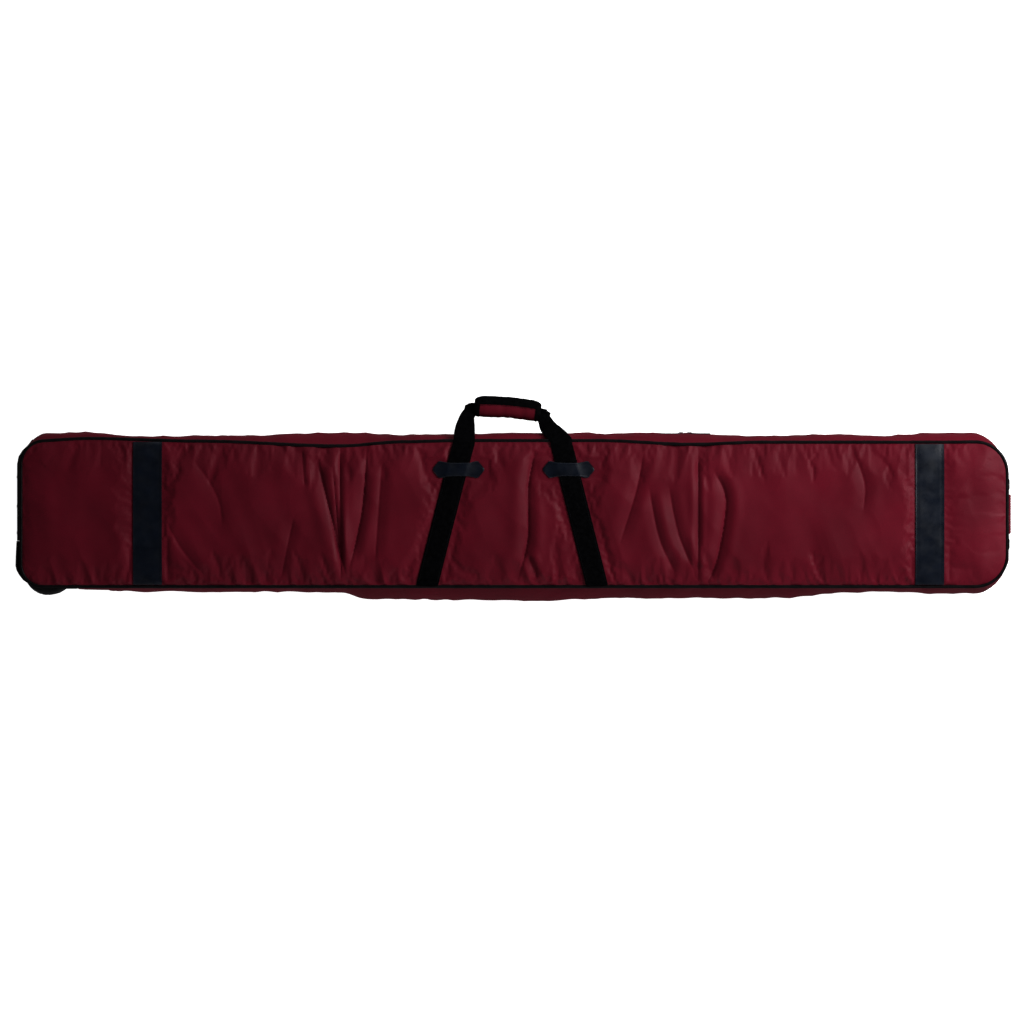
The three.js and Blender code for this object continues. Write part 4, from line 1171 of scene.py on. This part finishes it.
def zip_seam(name, direction, body):
    z = ZIP_Z + direction * (FABRIC_EDGE + 2.2 * MM)
    stations = travelled(ZIP_ROUTE, 7 * MM)
    line = [outwards(at, z, 0.15 * MM)[0] for at in stations]
    up = [(ox, oy, 0) for (_, _, ox, oy), _ in stations]
    stitches(name, line, up, 3.4 * MM, body, "nylon", RED_THREAD)


def add_gussets():
    low, high = (GUSSET_LOW, ZIP_Z - FABRIC_EDGE), (ZIP_Z + FABRIC_EDGE, GUSSET_HIGH)
    gusset("tray_gusset_fabric", ZIP_ROUTE, *low, 14, "tray", "tray_gusset")
    gusset("lid_gusset_fabric", ZIP_ROUTE, *high, 14, "lid", "lid_gusset")
    gusset("bottom_gusset_fabric", BOTTOM_ROUTE, GUSSET_LOW, GUSSET_HIGH, 26, "tray", "bottom_gusset")
    for body, direction in (("tray", -1), ("lid", 1)):
        zip_strip(f"{body}_zip_tape_woven", direction, body, f"{body}_zip_tape")
        zip_teeth(f"{body}_zip_teeth", direction, body)
        zip_seam(f"{body}_zip_seam", direction, body)


# ---------------------------------------------------------------- the back panel and the inside


def back_surface(x, y):
    """The back panel's underside: flat on the ground, with grooves under its straps and stripes."""
    d = edge_distance(x, y)
    rise = (BACK_SEAM_Z - 1.4 * MM) * math.exp(-d / (5 * MM))
    folds = 0.9 * MM * max(0.0, ridged(x + 0.3 * y, y * 0.4, 70 * MM, 41)) * smooth(8 * MM, 40 * MM, d)
    grooves = [1 - smooth(27.4 * MM, 29.5 * MM, abs(x - centre)) for centre in STRIPES.values()]
    grooves += [1 - smooth(20.6 * MM, 23 * MM, abs(x - strap_x(side, y))) for side in STRAP_PATHS]
    groove = max(grooves)
    return 0.2 * MM + rise + folds * (1 - groove) + 2.6 * MM * groove


def add_back_panel():
    def place(x, share):
        half = half_height(x)
        y = -half + 2 * half * share
        return (x, y, back_surface(x, y)), (x, y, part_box("back_panel")[1].z)

    shares = np.linspace(0, 1, math.ceil(2 * HALF_HEIGHT / (6 * MM)) + 1)
    lower, upper = lattice(panel_columns(6 * MM), shares, place)
    pad = shell("back_pad", lower, upper, NYLON, sharp=60)
    add_piece(pad, "tray", "nylon", "back_panel")
    for side, centre in STRIPES.items():
        add_back_stripe(side, centre)


def add_back_stripe(side, centre):
    across = np.concatenate([[-1, -0.97], np.linspace(-0.9, 0.9, 9), [0.97, 1]])
    ys = np.linspace(-HALF_HEIGHT + 1.5 * MM, HALF_HEIGHT - 1.5 * MM, 60)

    def place(y, share):
        x = centre + share * STRIPE_HALF
        rise = (BACK_SEAM_Z - 2.6 * MM) * math.exp(-edge_distance(x, y) / (5 * MM))
        edge = 0.5 * MM * (abs(share) > 0.99)
        return (x, y, 0.6 * MM + rise + edge), (x, y, 1.9 * MM + rise)

    outer, inner = lattice(ys, across, place)
    band = shell(f"back_stripe_{side}_leather", outer, inner, LEATHERETTE, sharp=50)
    add_piece(band, "tray", "leatherette", f"back_stripe_{side}")
    for label, column in (("a", 1), ("b", -2)):
        line = outer[3:-3, column] - np.array([0, 0, 0.1 * MM])
        stitches(f"back_stripe_{side}_seam_{label}", line, (0, 0, -1), 3.6 * MM, "tray", "leatherette")


def add_lining(name, node, body, facing):
    """A quilted lining. facing is 1 if its good side looks up and -1 if it looks down."""
    low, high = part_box(node)
    clear = 1.5 * MM
    base = high.z if facing > 0 else low.z

    def place(x, share):
        y = (half_height(x) - clear) * share
        quilt = abs(math.sin(math.pi * x / 0.12) * math.sin(math.pi * (y + HALF_HEIGHT) / 0.132)) ** 0.5
        puff = 1.6 * MM * quilt * smooth(0, 12 * MM, edge_distance(x, y))
        z = base + facing * (puff + 0.5 * MM * rough(x, y, 30 * MM, 51) - 0.6 * MM)
        return (x, y, z), (x, y, z - facing * 0.9 * MM)

    columns = panel_columns(8 * MM) * (1 - clear / HALF_LENGTH)
    good, hidden = lattice(columns, np.linspace(-1, 1, 41), place)
    obj = add_piece(shell(name, good, hidden, LINING, sharp=60), body, "lining", node)


def add_ski_strap(node):
    """A strap across the inside: two ends that overlap, held by hook and loop."""
    low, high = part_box(node)
    x, half, base = (low.x + high.x) / 2, (high.x - low.x) / 2, low.z + 1.4 * MM

    def row(y, lift, size=30 * MM, seed=61, ripple=0.0):
        return (x, y, base + lift + ripple * rough(y, x, size, seed), half, 0, 0, 1)

    under = [row(y, 0, ripple=0.3 * MM) for y in np.linspace(low.y, 50 * MM, 12)]
    over = [row(y, 0.2 * MM) for y in np.linspace(high.y, 62 * MM, 6)] + [row(53 * MM, 2.3 * MM)]
    over += [row(y, 2.2 * MM, 40 * MM, 62, 0.4 * MM) for y in np.linspace(44 * MM, -44 * MM, 8)]
    add_piece(ribbon(f"{node}_lower", under, 1.8 * MM)[0], "tray", "webbing", node)
    add_piece(ribbon(f"{node}_upper", over, 1.8 * MM)[0], "tray", "webbing")
    corners = ((-1, -38), (-1, 36), (1, 36), (1, -38), (-1, -38))
    line = [(x + side * half * 0.8, y * MM, base + 3.3 * MM) for side, y in corners]
    stitches(f"{node}_seam", line, (0, 0, 1), 3.4 * MM, "tray", "webbing")


# ---------------------------------------------------------------- wheels, guard and pull handle


def turned(name, profile, material, segments, spot, wave=None):
    """A ring turned from a closed profile of (radius, height). spot(across, along, height) places it."""
    points = []
    for angle in np.arange(segments) * 2 * math.pi / segments:
        for radius, height in profile:
            r = radius + (wave(angle, radius) if wave else 0)
            points.append(spot(r * math.cos(angle), r * math.sin(angle), height))
    return make_mesh(name, points, grid_faces(segments, len(profile), 0, True, True), material, sharp=40)


def add_wheel(name):
    place = middle(f"{name}_tyre")
    low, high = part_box(f"{name}_tyre")
    radius, half = (high.x - low.x) / 2, (high.z - low.z) / 2
    segments, shoulder = 96, radius - 6 * MM
    rim = [(28.3 * MM, half - 2 * MM), (33 * MM, half - 0.6 * MM), (36 * MM, half)]
    profile = [(r, -z) for r, z in rim]
    for k in range(13):
        angle = math.radians(-90 + 180 * k / 12)
        depth = 5.2 * MM if k in (4, 8) else 6 * MM
        profile.append((shoulder + depth * max(0.0, math.cos(angle)) ** 0.7, half * math.sin(angle)))
    profile += rim[::-1]

    def tread(angle, r):
        return -0.35 * MM if r > radius - 2.5 * MM and int(angle / (2 * math.pi) * segments) % 4 == 0 else 0

    def spot(x, y, z):
        return place.x + x, place.y + y, place.z + z

    tyre = turned(f"{name}_tyre_rubber", profile, TYRE, segments, spot, tread)
    add_piece(tyre, node_body(f"{name}_tyre"), "tyre", f"{name}_tyre")
    bevelled(f"{name}_hub", HUB, "hub", 0.6 * MM)
    for part in ("lower", "upper"):
        frame["nodes"][f"{name}_bearing_{part}"].data.materials[0] = STEEL


PULL_HINGE_X = next(j["pos_m"][0] for j in frame["joints"] if j["name"] == "pull_handle_lift")
# Half the pull handle's loop, in millimetres from its hinge: x, y, z and half its width.
PULL_LOOP = [
    (-0.6, -56, 9, 10), (-0.3, -56, 3, 10), (0, -56, 0, 10), (0.2, -55, -10, 9.5),
    (0.5, -52.5, -19, 7), (0.8, -46, -26, 4.2), (1, -38, -28, 3.2),
]


def add_pull_handle():
    """A loop of webbing through a ribbed sleeve, sewn into the seam under the zip."""
    hinge_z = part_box("pull_handle_webbing")[1].z
    rows = []
    for x, y, z, half in PULL_LOOP + [(x, -y, z, half) for x, y, z, half in reversed(PULL_LOOP)]:
        behind = 1.2 * MM if z > 2 else 0
        rows.append((PULL_HINGE_X + x * MM - behind, y * MM, hinge_z + z * MM, half * MM, 1, 0, -0.1))
    obj, _ = ribbon("pull_handle_strap", rows, 2 * MM, spacing=3 * MM)
    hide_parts("pull_handle_webbing")
    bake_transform(obj)
    place = middle("pull_handle_tube")
    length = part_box("pull_handle_tube")[1].y - place.y
    ribs = 60
    profile = [(3.9 * MM, -length + 1 * MM), (4.5 * MM, -length)]
    for k in range(ribs + 1):
        y = -length + 1.2 * MM + (2 * length - 2.4 * MM) * k / ribs
        profile.append((5.2 * MM - (0.7 * MM if k % 4 == 0 else 0), y))
    profile += [(4.5 * MM, length), (3.9 * MM, length - 1 * MM)]

    def spot(x, z, y):
        return place.x + x, place.y + y, place.z + z

    sleeve = turned("pull_handle_tube_ribbed", profile, NYLON, 28, spot)
    add_piece(sleeve, "pull_handle", "nylon", "pull_handle_tube")
    face_x, low, high = PULL_HINGE_X + 0.2 * MM, hinge_z - 0.5 * MM, hinge_z + 8 * MM
    for name, side in (("near", -1), ("far", 1)):
        outer, inner = side * -63.5 * MM, side * -48.5 * MM
        box = [(outer, low), (inner, low), (inner, high), (outer, high), (outer, low)]
        loop = [(face_x, y, z) for y, z in box]
        stitches(f"pull_handle_tack_{name}", loop, (1, 0, 0), 2.6 * MM, "tray", "webbing")


def add_tab_seam(side):
    """Stitches round a pull tab, on its outer face."""
    low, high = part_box(f"pull_tab_{side}")
    direction, edge = (1, low.x) if side == "right" else (-1, high.x)
    start, end, half = 12 * MM, 33 * MM, 4.6 * MM
    loop = [(start, -half), (end, -half)]
    loop += [(end + half * math.sin(a), -half * math.cos(a)) for a in np.linspace(0.2, math.pi - 0.2, 7)]
    loop += [(end, half), (start, half), (start, -half)]
    y, z = high.y + 0.05 * MM, (low.z + high.z) / 2
    line = [(edge + direction * (x + 0.9 * MM), y, z + dz) for x, dz in loop]
    body = node_body(f"pull_tab_{side}")
    stitches(f"pull_tab_{side}_seam", line, (0, 1, 0), 2.4 * MM, body, "leatherette", radius=0.25 * MM)


def add_hard_pieces():
    for node in ("wheel_housing", "end_guard"):
        bevelled(node, HARD, "hard_plastic", 0.6 * MM)
    for number in (1, 2, 3):
        bevelled(f"guard_rivet_{number}", STEEL, "steel", 0.25 * MM, 2)
    for side in ("left", "right"):
        bevelled(f"slider_{side}", ZINC, "zinc", 0.45 * MM)
        bevelled(f"pull_tab_{side}", LEATHERETTE, "leatherette", 0.35 * MM)
        add_tab_seam(side)
    for name in ("rear_wheel", "front_wheel"):
        add_wheel(name)
    frame["nodes"]["axle"].data.materials[0] = STEEL
    frame["nodes"]["back_board"].data.materials[0] = BOARD


# ---------------------------------------------------------------- everything together

add_camera()
add_studio()
add_piece(piping("front_piping_cord", SEAM_Z, True), "lid", "piping", "front_piping")
add_piece(piping("back_piping_cord", BACK_SEAM_Z, False), "tray", "piping", "back_piping")
front_webbing = add_front_webbing()
strap_seams(front_webbing)
for side, centre in STRIPES.items():
    add_stripe(side, centre)
for side, place in KEEPERS.items():
    add_keeper(side, place, front_webbing)
add_grip()
add_gussets()
add_back_panel()
add_back_webbing()
add_lining("tray_lining", "back_lining", "tray", 1)
add_lining("lid_lining", "front_lining", "lid", -1)
for node in ("ski_strap_wheel_end", "ski_strap_pull_end"):
    add_ski_strap(node)
add_hard_pieces()
add_pull_handle()

bpy.context.view_layer.update()
boxes = {"cad": CAD_BOX, "visual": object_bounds()}
{k: [list(low), list(high)] for k, (low, high) in boxes.items()}
